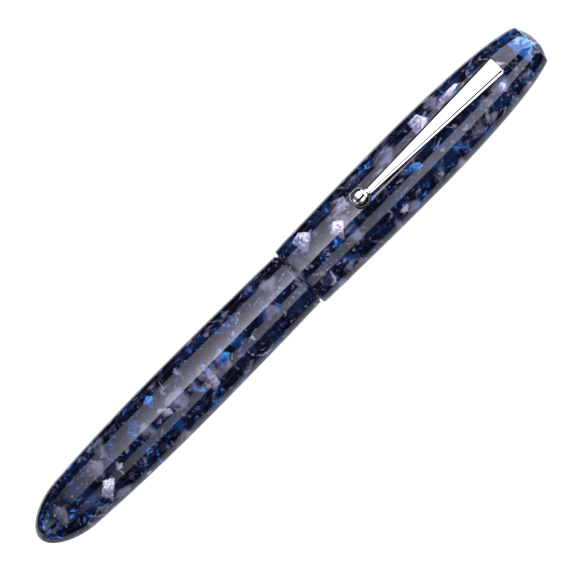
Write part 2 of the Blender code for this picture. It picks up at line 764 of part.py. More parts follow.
def converter_knob():
    path = [
        (KNOB_FLANGE_END, KNOB_BORE_RADIUS),
        (KNOB_FLANGE_END, KNOB_FLANGE_RADIUS),
        (KNOB_FLANGE_START, KNOB_FLANGE_RADIUS),
        (KNOB_FLANGE_START, KNOB_NECK_RADIUS),
        (KNOB_GRIP_END, KNOB_NECK_RADIUS),
        (KNOB_GRIP_END, KNOB_RADIUS - KNOB_EDGE / 2.0),
        (KNOB_GRIP_END - KNOB_EDGE, KNOB_RADIUS),
        (KNOB_REAR + KNOB_EDGE, KNOB_RADIUS),
        (KNOB_REAR, KNOB_RADIUS - KNOB_EDGE),
        (KNOB_REAR, 0.0),
    ]
    bore = [(KNOB_FLOOR, 0.0), (KNOB_FLOOR, KNOB_BORE_RADIUS)]
    turned("converter_knob", bore + path, BLACK_PLASTIC)


def converter_spindle():
    path = [
        (SPINDLE_FRONT, 0.0),
        (SPINDLE_FRONT, SPINDLE_RADIUS - EDGE_BREAK),
        (SPINDLE_FRONT - EDGE_BREAK, SPINDLE_RADIUS),
        (SPINDLE_HEAD_END, SPINDLE_RADIUS),
        (SPINDLE_HEAD_END, SPINDLE_HEAD_RADIUS),
        (SPINDLE_REAR, SPINDLE_HEAD_RADIUS),
        (SPINDLE_REAR, 0.0),
    ]
    turned("converter_spindle", path, POLISHED_STEEL)


def piston_plunger():
    bore = [
        (PLUNGER_BORE_END, 0.0),
        (PLUNGER_BORE_END, PLUNGER_BORE_RADIUS),
        (PLUNGER_REAR, PLUNGER_BORE_RADIUS),
    ]
    path = [
        (PLUNGER_FRONT, 0.0),
        (PLUNGER_FRONT, PLUNGER_HEAD_RADIUS),
        (SEAL_GROOVE_END, PLUNGER_HEAD_RADIUS),
        (SEAL_GROOVE_END, SEAL_GROOVE_RADIUS),
        (SEAL_GROOVE_START, SEAL_GROOVE_RADIUS),
        (SEAL_GROOVE_START, PLUNGER_HEAD_RADIUS),
        (PLUNGER_HEAD_START, PLUNGER_HEAD_RADIUS),
        (PLUNGER_HEAD_START, PLUNGER_RADIUS),
        (PLUNGER_REAR, PLUNGER_RADIUS),
    ]
    plunger = turned("piston_plunger", path + bore[::-1], GREY_PLASTIC)
    for name, side in (("plunger_flat_left", 1.0), ("plunger_flat_right", -1.0)):
        low, high = sorted((side * PLUNGER_FLAT, side * PLUNGER_HEAD_RADIUS))
        flat = box_mesh(
            name,
            (PLUNGER_REAR - CUT_MARGIN, low, -PLUNGER_HEAD_RADIUS),
            (PLUNGER_HEAD_START - PLUNGER_FLAT_SHORT, high, PLUNGER_HEAD_RADIUS),
        )
        combine(plunger, cutter(name, flat, PEN_AXIS), "DIFFERENCE")


def piston_seal():
    rear = SEAL_GROOVE_START + SEAL_GAP
    front = SEAL_GROOVE_END - SEAL_GAP
    lip = (front - rear) * SEAL_LIP_SHARE
    waist = (front - rear) * SEAL_WAIST_SHARE
    path = [
        (front, SEAL_GROOVE_RADIUS + SEAL_GAP),
        (front, SEAL_OUTER_RADIUS),
        (front - lip, SEAL_OUTER_RADIUS),
        (front - waist, SEAL_WAIST_RADIUS),
        (rear + waist, SEAL_WAIST_RADIUS),
        (rear + lip, SEAL_OUTER_RADIUS),
        (rear, SEAL_OUTER_RADIUS),
        (rear, SEAL_GROOVE_RADIUS + SEAL_GAP),
    ]
    turned("piston_seal", path, RUBBER)


clear_scene()
PIECES = collection("fountain_pen")
CUTTERS = collection("cutters")
PEN_AXIS = empty("pen_axis", (-PEN_LENGTH / 2.0, 0.0, CAP_RADIUS))
LATHE_AXIS = empty("lathe_axis", (0.0, 0.0, 0.0), (0.0, math.pi / 2.0, 0.0), PEN_AXIS)
CLIP_HINGE = empty("clip_hinge", (CLIP_PIVOT_STATION, 0.0, CLIP_PIVOT_HEIGHT), parent=PEN_AXIS)

NAVY_RESIN = material("navy_resin", (0.03, 0.035, 0.09), 0.08)
POLISHED_STEEL = material("polished_steel", (0.82, 0.82, 0.82), 0.06, metallic=1.0)
TIPPING = material("tipping", (0.75, 0.76, 0.78), 0.15, metallic=1.0)
BLACK_PLASTIC = material("black_plastic", (0.02, 0.02, 0.02), 0.3)
GREY_PLASTIC = material("grey_plastic", (0.55, 0.55, 0.53), 0.4)
CLEAR_PLASTIC = material("clear_plastic", (0.85, 0.9, 0.92), 0.05, alpha=0.35)
RUBBER = material("seal_rubber", (0.03, 0.03, 0.03), 0.7)

barrel()
cap_shell()
inner_cap()
clip()
clip_ball()
clip_screw()
section()
nib_housing()
feed()
nib()
nib_tips()
converter_mouth()
converter_tube()
converter_ferrule()
converter_guide()
converter_knob()
converter_spindle()
piston_plunger()
piston_seal()
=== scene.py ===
"""Fine surfaces, finishes, lights and camera for the fountain pen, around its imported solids.

A station is the distance in millimetres along the pen from the barrel's round end, and a height
is measured in millimetres from the pen's axis.
"""

import math

import bmesh
import bpy
import numpy as np
from mathutils import Matrix, Vector


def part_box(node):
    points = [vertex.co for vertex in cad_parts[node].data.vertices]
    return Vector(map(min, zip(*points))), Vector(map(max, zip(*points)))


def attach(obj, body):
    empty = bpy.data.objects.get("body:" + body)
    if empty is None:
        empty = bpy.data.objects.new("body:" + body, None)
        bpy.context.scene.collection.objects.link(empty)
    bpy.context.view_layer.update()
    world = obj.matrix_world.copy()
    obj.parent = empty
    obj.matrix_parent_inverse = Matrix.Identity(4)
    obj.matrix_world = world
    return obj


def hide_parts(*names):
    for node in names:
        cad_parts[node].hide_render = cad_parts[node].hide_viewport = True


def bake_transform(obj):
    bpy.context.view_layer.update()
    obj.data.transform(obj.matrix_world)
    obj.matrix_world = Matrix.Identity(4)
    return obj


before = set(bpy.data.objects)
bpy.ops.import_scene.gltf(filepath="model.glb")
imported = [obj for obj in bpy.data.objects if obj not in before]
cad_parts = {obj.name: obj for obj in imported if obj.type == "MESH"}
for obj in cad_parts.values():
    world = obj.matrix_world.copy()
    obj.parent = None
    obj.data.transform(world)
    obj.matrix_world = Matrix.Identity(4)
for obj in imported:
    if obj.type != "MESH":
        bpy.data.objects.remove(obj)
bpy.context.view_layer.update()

MM = 0.001
TIP_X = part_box("barrel")[0].x
AXIS_Z = (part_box("cap_shell")[0].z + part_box("cap_shell")[1].z) / 2.0


def first(name):
    """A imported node's lowest station."""
    return (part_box(name)[0].x - TIP_X) / MM


def last(name):
    """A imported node's highest station."""
    return (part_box(name)[1].x - TIP_X) / MM


def point(station, side, height):
    """The place in metres of a station, a distance aside and a height."""
    return (TIP_X + station * MM, side * MM, AXIS_Z + height * MM)


PEN_LENGTH = last("cap_shell")
LIP = first("cap_shell")
TENON_END = last("barrel")


# ---------------------------------------------- outlines

def spread(start, end, count):
    """Evenly spaced values from start to end, both included."""
    return [start + (end - start) * i / count for i in range(count + 1)]


def fillet(corners, steps=4):
    """Rounds a path. A corner is (station, radius) or (station, radius, rounding)."""
    loop = corners[0][1] > 0.0 or corners[-1][1] > 0.0
    path = []
    for i, corner in enumerate(corners):
        here = Vector(corner[:2])
        rounding = corner[2] if len(corner) > 2 else 0.0
        at_end = not loop and i in (0, len(corners) - 1)
        if rounding == 0.0 or at_end:
            path.append(tuple(here))
            continue
        before = Vector(corners[i - 1][:2]) - here
        after = Vector(corners[(i + 1) % len(corners)][:2]) - here
        reach = min(rounding, 0.49 * before.length, 0.49 * after.length)
        start = here + before.normalized() * reach
        end = here + after.normalized() * reach
        for t in spread(0.0, 1.0, steps):
            path.append(tuple(start * (1 - t) ** 2 + here * 2 * t * (1 - t) + end * t * t))
    return path


BARREL_WIDEST = 42.3
BARREL_RADIUS = 7.40
BARREL_REAR_FALL = 0.00104
BARREL_FRONT_FALL = 0.00037

CAP_WIDEST = 112.0
CAP_RADIUS = 8.15
CAP_LIP_FALL = 0.0005
CROWN_REACH = 35.4
CROWN_FALL = 1.95
CROWN_EDGE_FALL = 1.05


def barrel_radius(station):
    """The barrel falls away on both sides of its widest place."""
    fall = BARREL_REAR_FALL if station < BARREL_WIDEST else BARREL_FRONT_FALL
    return BARREL_RADIUS - fall * (station - BARREL_WIDEST) ** 2


def cap_radius(station):
    """The cap falls away gently to its lip, and faster and faster to its crown."""
    if station < CAP_WIDEST:
        return CAP_RADIUS - CAP_LIP_FALL * (station - CAP_WIDEST) ** 2
    reach = (station - CAP_WIDEST) / CROWN_REACH
    return CAP_RADIUS - CROWN_FALL * reach**2 - CROWN_EDGE_FALL * reach**7


# ---------------------------------------------- mesh helpers

THREAD_SHARPNESS = 2.2
FLUTE_FADE = 0.5


def helix(start, end, pitch, depth, starts=1):
    """A screw thread cut into the surface between two stations. A depth below 0 stands proud."""
    def shape(station, angles, radius):
        if not start < station < end:
            return np.full_like(angles, radius)
        fade = min(1.0, (station - start) / pitch, (end - station) / pitch)
        turn = (station / pitch - angles * starts / (2.0 * math.pi)) % 1.0
        profile = np.clip(THREAD_SHARPNESS * np.abs(turn - 0.5), 0.0, 1.0)
        return radius - depth * fade * profile
    return shape


def flutes(start, end, count, depth):
    """Lengthwise grip ribs between two stations."""
    def shape(station, angles, radius):
        if not start < station < end:
            return np.full_like(angles, radius)
        fade = min(1.0, (station - start) / FLUTE_FADE, (end - station) / FLUTE_FADE)
        return radius - depth * fade * (0.5 - 0.5 * np.cos(count * angles)) ** 2
    return shape


def soften(mesh, degrees=32.0):
    """Shades smoothly, but keeps edges sharper than the angle."""
    mesh.shade_smooth()
    mesh.set_sharp_from_angle(angle=math.radians(degrees))


def outward(mesh):
    """Turns all faces outwards."""
    bm = bmesh.new()
    bm.from_mesh(mesh)
    bmesh.ops.recalc_face_normals(bm, faces=bm.faces)
    bm.to_mesh(mesh)
    bm.free()


def placed(name, data):
    """A new object in the scene."""
    made = bpy.data.objects.new(name, data)
    bpy.context.scene.collection.objects.link(made)
    return made


def add_piece(name, mesh, finish):
    """A new object with one material."""
    made = placed(name, mesh)
    mesh.materials.append(finish)
    return made


def lathe(name, path, finish, segments=128, shape=None):
    """Turns a path about the pen's axis. Its ends close on the axis or on each other."""
    angles = np.arange(segments) * 2.0 * math.pi / segments
    points, rings = [], []
    for station, radius in path:
        if radius <= 0.0:
            rings.append([len(points)])
            points.append(point(station, 0.0, 0.0))
            continue
        radii = shape(station, angles, radius) if shape else np.full(segments, radius)
        rings.append(range(len(points), len(points) + segments))
        points += [
            point(station, r * math.sin(a), r * math.cos(a)) for r, a in zip(radii, angles)
        ]
    if path[0][1] > 0.0:
        rings.append(rings[0])
    faces = []
    for low, high in zip(rings, rings[1:]):
        for i in range(segments):
            j = (i + 1) % segments
            if len(low) == 1:
                faces.append((low[0], high[i], high[j]))
            elif len(high) == 1:
                faces.append((low[i], high[0], low[j]))
            else:
                faces.append((low[i], high[i], high[j], low[j]))
    mesh = bpy.data.meshes.new(name)
    mesh.from_pydata(points, [], faces)
    outward(mesh)
    soften(mesh)
    return add_piece(name, mesh, finish)


def closed(name, bm):
    """Turns a bmesh into a mesh, and frees it."""
    mesh = bpy.data.meshes.new(name)
    bm.to_mesh(mesh)
    bm.free()
    return mesh


def box_mesh(name, low, high):
    """A box between two corners, each a station, a side and a height."""
    bm = bmesh.new()
    bmesh.ops.create_cube(bm, size=1.0)
    size = [(b - a) * MM for a, b in zip(low, high)]
    middle = point(*[(a + b) / 2.0 for a, b in zip(low, high)])
    bm.transform(Matrix.Translation(middle) @ Matrix.Diagonal((*size, 1.0)))
    return closed(name, bm)


def rod_mesh(name, radius, length, middle, turn):
    """A round rod about a middle point. Before its turn it stands upright."""
    bm = bmesh.new()
    bmesh.ops.create_cone(
        bm, cap_ends=True, segments=64,
        radius1=radius * MM, radius2=radius * MM, depth=length * MM,
    )
    bm.transform(Matrix.Translation(point(*middle)) @ turn)
    return closed(name, bm)


def cut(target, meshes, operation="DIFFERENCE"):
    """Cuts or joins a piece with other solids, and keeps the result as its mesh."""
    tools = []
    for mesh in meshes:
        tool = placed(mesh.name, mesh)
        boolean = target.modifiers.new(mesh.name, "BOOLEAN")
        boolean.object = tool
        boolean.operation = operation
        tools.append(tool)
    settle(target)
    for tool in tools:
        bpy.data.objects.remove(tool)


def settle(target):
    """Applies a piece's modifiers and shades it."""
    bpy.context.view_layer.update()
    evaluated = target.evaluated_get(bpy.context.evaluated_depsgraph_get())
    mesh = bpy.data.meshes.new_from_object(evaluated)
    target.modifiers.clear()
    target.data = mesh
    soften(mesh)


def grid_mesh(name, rows):
    """A sheet through rows of points."""
    points = [p for row in rows for p in row]
    width = len(rows[0])
    faces = []
    for i in range(len(rows) - 1):
        for j in range(width - 1):
            corner = i * width + j
            faces.append((corner, corner + width, corner + width + 1, corner + 1))
    mesh = bpy.data.meshes.new(name)
    mesh.from_pydata(points, [], faces)
    return mesh


# ---------------------------------------------- materials

def supply(tree, socket, value):
    """Links a socket to another one, or sets its value."""
    if isinstance(value, bpy.types.NodeSocket):
        tree.links.new(value, socket)
    else:
        socket.default_value = value


def node(tree, kind, inputs=None, **settings):
    """A new node. An input is a value to set or a socket to link."""
    made = tree.nodes.new(kind)
    for key, value in settings.items():
        setattr(made, key, value)
    for key, value in (inputs or {}).items():
        supply(tree, made.inputs[key], value)
    return made


def mixed(tree, factor, below, above):
    """Colour mix, through sockets 0 for the factor and 6 and 7 for the colours."""
    made = node(tree, "ShaderNodeMix", data_type="RGBA")
    for key, value in ((0, factor), (6, below), (7, above)):
        supply(tree, made.inputs[key], value)
    return made.outputs[2]


def step(tree, value, low, high):
    """0 below low, 1 above high, smooth between."""
    made = node(
        tree, "ShaderNodeMapRange",
        {"Value": value, "From Min": low, "From Max": high, "To Min": 0.0, "To Max": 1.0},
        interpolation_type="SMOOTHSTEP",
    )
    return made.outputs["Result"]


def maths(tree, operation, a, b):
    """A maths node's result. Each value is a number or a socket."""
    return node(tree, "ShaderNodeMath", {0: a, 1: b}, operation=operation).outputs[0]


# The sums that come most often.
def plus(tree, a, b):
    return maths(tree, "ADD", a, b)


def minus(tree, a, b):
    return maths(tree, "SUBTRACT", a, b)


def times(tree, a, b):
    return maths(tree, "MULTIPLY", a, b)


def size_of(tree, value):
    return maths(tree, "ABSOLUTE", value, 0.0)


def blank(name):
    """A material with a Principled shader. Returns it, its tree and the shader."""
    made = bpy.data.materials.new(name)
    made.use_nodes = True
    return made, made.node_tree, made.node_tree.nodes["Principled BSDF"]


def millimetres(tree, offset=(0.0, 0.0, 0.0)):
    """Position in the piece's own frame, in millimetres."""
    place = node(tree, "ShaderNodeTexCoord").outputs["Object"]
    scaled = node(tree, "ShaderNodeVectorMath", {0: place, 3: 1.0 / MM}, operation="SCALE")
    return node(tree, "ShaderNodeVectorMath", {0: scaled.outputs[0], 1: offset}).outputs[0]


def shifted(tree, place, offset):
    """A position moved by an offset."""
    return node(tree, "ShaderNodeVectorMath", {0: place, 1: offset}).outputs[0]


def warped(tree, place, scale, reach):
    """Pushes a position about by noise, so that straight borders bend."""
    drift = node(tree, "ShaderNodeTexNoise", {"Vector": place, "Scale": scale, "Detail": 3.0})
    centred = shifted(tree, drift.outputs["Color"], (-0.5, -0.5, -0.5))
    push = node(tree, "ShaderNodeVectorMath", {0: centred, 3: reach}, operation="SCALE")
    return shifted(tree, place, push.outputs[0])


def noise(tree, place, scale, detail=3.0, roughness=0.5, distortion=0.0):
    """Noise between about 0.2 and 0.8."""
    made = node(
        tree, "ShaderNodeTexNoise",
        {
            "Vector": place, "Scale": scale, "Detail": detail, "Roughness": roughness,
            "Distortion": distortion,
        },
    )
    return made.outputs["Fac"]


def grained(tree, place, region, stretch):
    """Turns the position anew in each region and stretches it, so detail runs in streaks."""
    cell = node(tree, "ShaderNodeTexVoronoi", {"Vector": place, "Scale": 1.0 / region})
    spin = node(
        tree, "ShaderNodeVectorMath", {0: cell.outputs["Color"], 3: 2.0 * math.pi},
        operation="SCALE",
    )
    turned = node(
        tree, "ShaderNodeVectorRotate", {"Vector": place, "Rotation": spin.outputs[0]},
        rotation_type="EULER_XYZ",
    )
    return node(
        tree, "ShaderNodeVectorMath", {0: turned.outputs[0], 1: (stretch, 1.0, 1.0)},
        operation="MULTIPLY",
    ).outputs[0]


FIBRE_STRETCH = 0.22
FIBRE_GAIN = 2.4
LUCK_GAIN = 0.5
DIM_LEVEL = 1.10
BRIGHT_LEVEL = 2.15


def chips(tree, below, place, size, share, dim, bright, soft, tilt_share=2.6, grain=1.0):
    """A layer of pearl chips. Each has its own tilt, so it shades from dim to bright across."""
    scale = 1.0 / size
    cell = node(tree, "ShaderNodeTexVoronoi", {"Vector": place, "Scale": scale})
    border = node(
        tree, "ShaderNodeTexVoronoi", {"Vector": place, "Scale": scale},
        feature="DISTANCE_TO_EDGE",
    ).outputs["Distance"]
    random = node(tree, "ShaderNodeSeparateColor", {"Color": cell.outputs["Color"]}).outputs
    offset = node(
        tree, "ShaderNodeVectorMath", {0: place, 1: cell.outputs["Position"]},
        operation="SUBTRACT",
    ).outputs[0]
    lean = shifted(tree, cell.outputs["Color"], (-0.5, -0.5, -0.5))
    tilt = node(
        tree, "ShaderNodeVectorMath", {0: offset, 1: lean}, operation="DOT_PRODUCT"
    ).outputs["Value"]
    fibre = noise(tree, grained(tree, place, size, FIBRE_STRETCH), grain, 5.0, 0.65, 0.3)
    level = times(tree, tilt, tilt_share / size)
    level = plus(tree, level, times(tree, fibre, FIBRE_GAIN))
    level = plus(tree, level, times(tree, random[1], LUCK_GAIN))
    tint = mixed(tree, step(tree, level, DIM_LEVEL, BRIGHT_LEVEL), dim, bright)
    chosen = step(tree, random[0], 1.0 - share, 1.005 - share)
    there = times(tree, chosen, step(tree, border, 0.0, soft))
    rim = minus(tree, 1.0, step(tree, border, 0.015, 0.10))
    return mixed(tree, there, below, tint), times(tree, rim, chosen)


def rough_between(tree, pattern, low, high):
    """Roughness between two values, by a noise pattern."""
    return node(
        tree, "ShaderNodeMapRange",
        {"Value": pattern, "From Min": 0.3, "From Max": 0.7, "To Min": low, "To Max": high},
    ).outputs["Result"]


def veins(tree, place, scale, width, detail):
    """Thin winding lines, where a noise field crosses its middle value."""
    field = noise(tree, place, scale, detail, 0.6, 0.6)
    away = size_of(tree, minus(tree, field, 0.5))
    return minus(tree, 1.0, step(tree, away, 0.0, width))


RESIN_OFFSET = (31.0, 7.0, 3.0)

# Each layer reads its noise a step further along, so that no two layers line up.
LAYER_STEP = 30.0

INK_BLACK = (0.0022, 0.0022, 0.0080, 1)
NAVY = (0.003, 0.011, 0.042, 1)
SMOKE = (0.046, 0.048, 0.096, 1)
BRUSH_GREY = (0.300, 0.300, 0.410, 1)
BRUSH_SHARE = 0.55
DEEP_GLINT = (0.004, 0.045, 0.260, 1)
CLEAR_GLINT = (0.050, 0.290, 0.760, 1)
CLOUD_SHARE = 0.45

# Glints grow commoner between these distances from the pen's middle.
TIP_START = 58.0
TIP_FULL = 70.0
TIP_GAIN = 0.09

# The dim and the bright colour of a chip.
PALE = ((0.15, 0.145, 0.22, 1), (0.78, 0.78, 0.86, 1))
MAUVE = ((0.030, 0.025, 0.050, 1), (0.31, 0.29, 0.41, 1))
AZURE = ((0.005, 0.045, 0.220, 1), (0.060, 0.280, 0.640, 1))
ICE = ((0.012, 0.080, 0.280, 1), (0.260, 0.500, 0.740, 1))

# The most striking chips, given in whole and half millimetres: station, angle round
# the pen from the clip towards -Y, length, width, turn from the pen's length, and colours.
LARGE_CHIPS = (
    (18, 36, 4.0, 2.5, 40, PALE),
    (37, -22, 2.0, 2.0, 35, AZURE),
    (50, 26, 2.0, 5.0, -10, MAUVE),
    (55, 20, 2.5, 1.5, 15, AZURE),
    (84, -32, 3.5, 4.0, 25, PALE),
    (91, 1, 3.0, 2.5, 40, PALE),
    (95, -23, 4.0, 3.5, -20, MAUVE),
    (112, 21, 3.0, 1.5, -25, AZURE),
    (119, -30, 3.5, 4.0, 10, PALE),
    (128, -27, 6.0, 1.5, 5, PALE),
    (137, 30, 1.5, 1.5, 30, PALE),
    (146, -1, 3.5, 4.5, 20, ICE),
)


def straight_out(angle):
    """The direction straight out of the pen, at an angle round it from the clip towards -Y."""
    turn = math.radians(angle)
    return Vector((0.0, -math.sin(turn), math.cos(turn)))


CHIP_DEPTH = 3.0
CHIP_SKEW = 0.22
CHIP_BREAK = 0.8
CHIP_EDGE = (1.22, 1.42)
CHIP_SHADE = 0.16
CHIP_SHEEN = (0.34, 0.64)


def large_chip(tree, below, place, fibre, chip):
    """One placed chip, with broken edges and its own sheen."""
    station, angle, length, width, turn, (dim, bright) = chip
    radius = barrel_radius(station) if station < LIP else cap_radius(station)
    normal = straight_out(angle)
    lengthwise = Vector((1.0, 0.0, 0.0))
    edge = normal.cross(lengthwise)
    turn = math.radians(turn)
    centre = Vector(point(station, 0.0, 0.0)) / MM + normal * radius + Vector(RESIN_OFFSET)
    offset = shifted(tree, place, tuple(-centre))
    reach = []
    for axis, half in (
        (lengthwise * math.cos(turn) + edge * math.sin(turn), length / 2.0),
        (edge * math.cos(turn) - lengthwise * math.sin(turn), width / 2.0),
        (normal, CHIP_DEPTH),
    ):
        share = node(
            tree, "ShaderNodeVectorMath", {0: offset, 1: tuple(axis / half)},
            operation="DOT_PRODUCT",
        ).outputs["Value"]
        reach.append(share)
    far = size_of(tree, reach[0])
    for share in reach[1:]:
        far = maths(tree, "MAXIMUM", far, size_of(tree, share))
    skew = times(tree, plus(tree, reach[0], reach[1]), CHIP_SKEW)
    skewed = plus(tree, far, skew)
    broken = plus(tree, skewed, times(tree, fibre, CHIP_BREAK))
    inside = minus(tree, 1.0, step(tree, broken, *CHIP_EDGE))
    level = plus(tree, fibre, times(tree, reach[0], CHIP_SHADE))
    return mixed(tree, inside, below, mixed(tree, step(tree, level, *CHIP_SHEEN), dim, bright))


def layer(tree, place, number):
    """The position that one of the resin's layers reads its noise at."""
    return shifted(tree, place, (LAYER_STEP * number, 0.0, 0.0))


def resin_body(tree, place, bent, crisp):
    """The resin's colour under its glints, and the rims of its chips."""
    depth = step(tree, noise(tree, bent, 0.22, 4.0), 0.46, 0.66)
    body = mixed(tree, depth, INK_BLACK, NAVY)
    streaky = grained(tree, bent, 6.5, 0.30)
    smoke = step(tree, noise(tree, streaky, 0.62, 5.0, 0.62), 0.52, 0.74)
    body = mixed(tree, smoke, body, SMOKE)
    body, _ = chips(
        tree, body, layer(tree, bent, 1), size=4.2, share=0.28,
        dim=(0.002, 0.006, 0.020, 1), bright=(0.007, 0.042, 0.160, 1), soft=0.30,
    )
    body, pearl_rim = chips(
        tree, body, layer(tree, crisp, 2), size=4.5, share=0.32,
        dim=(0.004, 0.004, 0.012, 1), bright=(0.136, 0.142, 0.200, 1), soft=0.20,
        tilt_share=3.4,
    )
    body, white_rim = chips(
        tree, body, layer(tree, crisp, 3), size=3.0, share=0.045,
        dim=(0.020, 0.018, 0.040, 1), bright=(0.345, 0.350, 0.420, 1), soft=0.10,
        tilt_share=3.8, grain=0.7,
    )
    fibre = noise(tree, grained(tree, place, 4.0, 0.25), 1.3, 4.0, 0.6, 0.3)
    for chip in LARGE_CHIPS:
        body = large_chip(tree, body, crisp, fibre, chip)
    strokes = noise(tree, grained(tree, bent, 7.5, 0.13), 0.85, 2.0, 0.5)
    brushed = times(tree, step(tree, strokes, 0.60, 0.74), BRUSH_SHARE)
    body = mixed(tree, brushed, body, BRUSH_GREY)
    return body, maths(tree, "MAXIMUM", pearl_rim, white_rim)


def resin_glints(tree, body, place, crisp, rims):
    """Blue glints in patches: along the chips' rims, in fine lines and as faint clouds."""
    lengthwise = node(tree, "ShaderNodeSeparateXYZ", {0: place}).outputs[0]
    reach = size_of(tree, minus(tree, lengthwise, RESIN_OFFSET[0]))
    tips = times(tree, step(tree, reach, TIP_START, TIP_FULL), TIP_GAIN)
    patch = noise(tree, layer(tree, place, 4), 0.26, 3.0)
    glow = step(tree, plus(tree, patch, tips), 0.48, 0.60)
    flicker = noise(tree, grained(tree, place, 5.0, 0.32), 0.95, 4.0, 0.58)
    spark = times(tree, glow, step(tree, flicker, 0.50, 0.66))
    rim = times(tree, rims, spark)
    lines = times(tree, veins(tree, crisp, 0.30, 0.055, 2.0), spark)
    cloud = times(tree, times(tree, spark, glow), CLOUD_SHARE)
    glint = maths(tree, "MAXIMUM", maths(tree, "MAXIMUM", rim, lines), cloud)
    blue = mixed(tree, step(tree, flicker, 0.54, 0.70), DEEP_GLINT, CLEAR_GLINT)
    return mixed(tree, glint, body, blue)


def resin():
    """Cast resin: near-black navy with smoky pearl chips, pale strokes and blue glints."""
    made, tree, shader = blank("pearl_resin")
    place = millimetres(tree, RESIN_OFFSET)
    bent = warped(tree, place, 0.35, 2.6)
    crisp = warped(tree, place, 0.8, 0.9)
    body, rims = resin_body(tree, place, bent, crisp)
    body = resin_glints(tree, body, place, crisp, rims)
    rough = rough_between(tree, noise(tree, place, 2.5, 6.0), 0.045, 0.075)
    tree.links.new(body, shader.inputs["Base Color"])
    tree.links.new(rough, shader.inputs["Roughness"])
    shader.inputs["IOR"].default_value = 1.5
    return made


MARK_STRETCH = (0.15, 2.0, 2.0)
MARK_DEPTH = 0.02 * MM
GRAIN_DEPTH = 0.03 * MM


def polished(name, colour, low, high):
    """Polished metal with faint lengthwise polishing marks."""
    made, tree, shader = blank(name)
    place = millimetres(tree)
    drawn = node(
        tree, "ShaderNodeVectorMath", {0: place, 1: MARK_STRETCH}, operation="MULTIPLY"
    )
    marks = noise(tree, drawn.outputs[0], 6.0, 5.0)
    haze = mixed(tree, marks, (*[c * 0.94 for c in colour], 1), (*colour, 1))
    bump = node(
        tree, "ShaderNodeBump", {"Strength": 0.01, "Distance": MARK_DEPTH, "Height": marks}
    )
    tree.links.new(haze, shader.inputs["Base Color"])
    tree.links.new(rough_between(tree, marks, low, high), shader.inputs["Roughness"])
    tree.links.new(bump.outputs["Normal"], shader.inputs["Normal"])
    shader.inputs["Metallic"].default_value = 1.0
    return made


def moulded(name, colour, low, high, alpha=1.0, transmission=0.0):
    """Moulded plastic or rubber with a fine grain."""
    made, tree, shader = blank(name)
    place = millimetres(tree)
    grain = noise(tree, place, 9.0, 3.0)
    cloud = noise(tree, place, 0.6, 2.0)
    darker = (*[c * 0.85 for c in colour], 1)
    lighter = (*[min(c * 1.15, 1.0) for c in colour], 1)
    shade = mixed(tree, cloud, darker, lighter)
    bump = node(
        tree, "ShaderNodeBump", {"Strength": 0.05, "Distance": GRAIN_DEPTH, "Height": grain}
    )
    tree.links.new(shade, shader.inputs["Base Color"])
    tree.links.new(rough_between(tree, grain, low, high), shader.inputs["Roughness"])
    tree.links.new(bump.outputs["Normal"], shader.inputs["Normal"])
    shader.inputs["Alpha"].default_value = alpha
    shader.inputs["Transmission Weight"].default_value = transmission
    return made


RESIN = resin()
CHROME = polished("chrome", (0.62, 0.62, 0.62), 0.015, 0.035)
NIB_STEEL = polished("nib_steel", (0.78, 0.77, 0.75), 0.08, 0.16)
TIPPING = polished("tipping", (0.62, 0.63, 0.65), 0.18, 0.30)
BLACK = moulded("black_plastic", (0.018, 0.018, 0.020), 0.28, 0.42)
GREY = moulded("grey_plastic", (0.50, 0.50, 0.48), 0.35, 0.50)
CLEAR = moulded("clear_plastic", (0.86, 0.90, 0.92), 0.02, 0.05, alpha=0.50, transmission=1.0)
RUBBER = moulded("seal_rubber", (0.025, 0.025, 0.026), 0.60, 0.80)


def fit(piece, body, node_name):
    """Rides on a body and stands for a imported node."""
    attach(piece, body)
    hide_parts(node_name)


# ---------------------------------------------- barrel and cap

SHOULDER = 77.56
SHOULDER_LAND = 0.2
NOSE_LENGTH = 10.8
TENON_RADIUS = 6.5
THREAD_ROOM = 6.62
THREAD_PITCH = 0.8
THREAD_STARTS = 3
THREAD_DEPTH = 0.32
RIDGE_HEIGHT = 0.06

DOME_FALL = 0.065
DOME_RADIUS = 4.55
CROWN_CORNER = (147.66, 4.98, 0.45)
CROWN_EDGE = 146.9
LIP_ROUND = 0.45
LIP_END = 0.5


def barrel():
    """A bored shell with a round nose, a shoulder for the cap and a threaded tenon."""
    land = SHOULDER - SHOULDER_LAND
    body = [(s, barrel_radius(s)) for s in spread(land, NOSE_LENGTH, 60)]
    nose = []
    for angle in spread(math.pi / 2.0, 0.0, 40)[1:]:
        station = NOSE_LENGTH * (1.0 - math.cos(angle))
        nose.append((station, barrel_radius(station) * math.sin(angle)))
    front = fillet([
        (10.3, 0.0), (13.0, 4.7), (77.0, 4.7), (77.0, 4.95), (TENON_END, 4.95, 0.15),
        (TENON_END, TENON_RADIUS, 0.3), (85.9, TENON_RADIUS),
    ])
    thread = [(s, TENON_RADIUS) for s in spread(85.8, 79.0, 100)]
    shoulder = fillet([
        (78.6, 6.42, 0.1), (SHOULDER, 6.42, 0.1), (SHOULDER, barrel_radius(SHOULDER), 0.14),
        (land, barrel_radius(land)),
    ])[:-1]
    made = lathe(
        "barrel_shell", front + thread + shoulder + body + nose, RESIN, 160,
        helix(79.2, 85.8, THREAD_PITCH, THREAD_DEPTH, THREAD_STARTS),
    )
    fit(made, "barrel", "barrel")


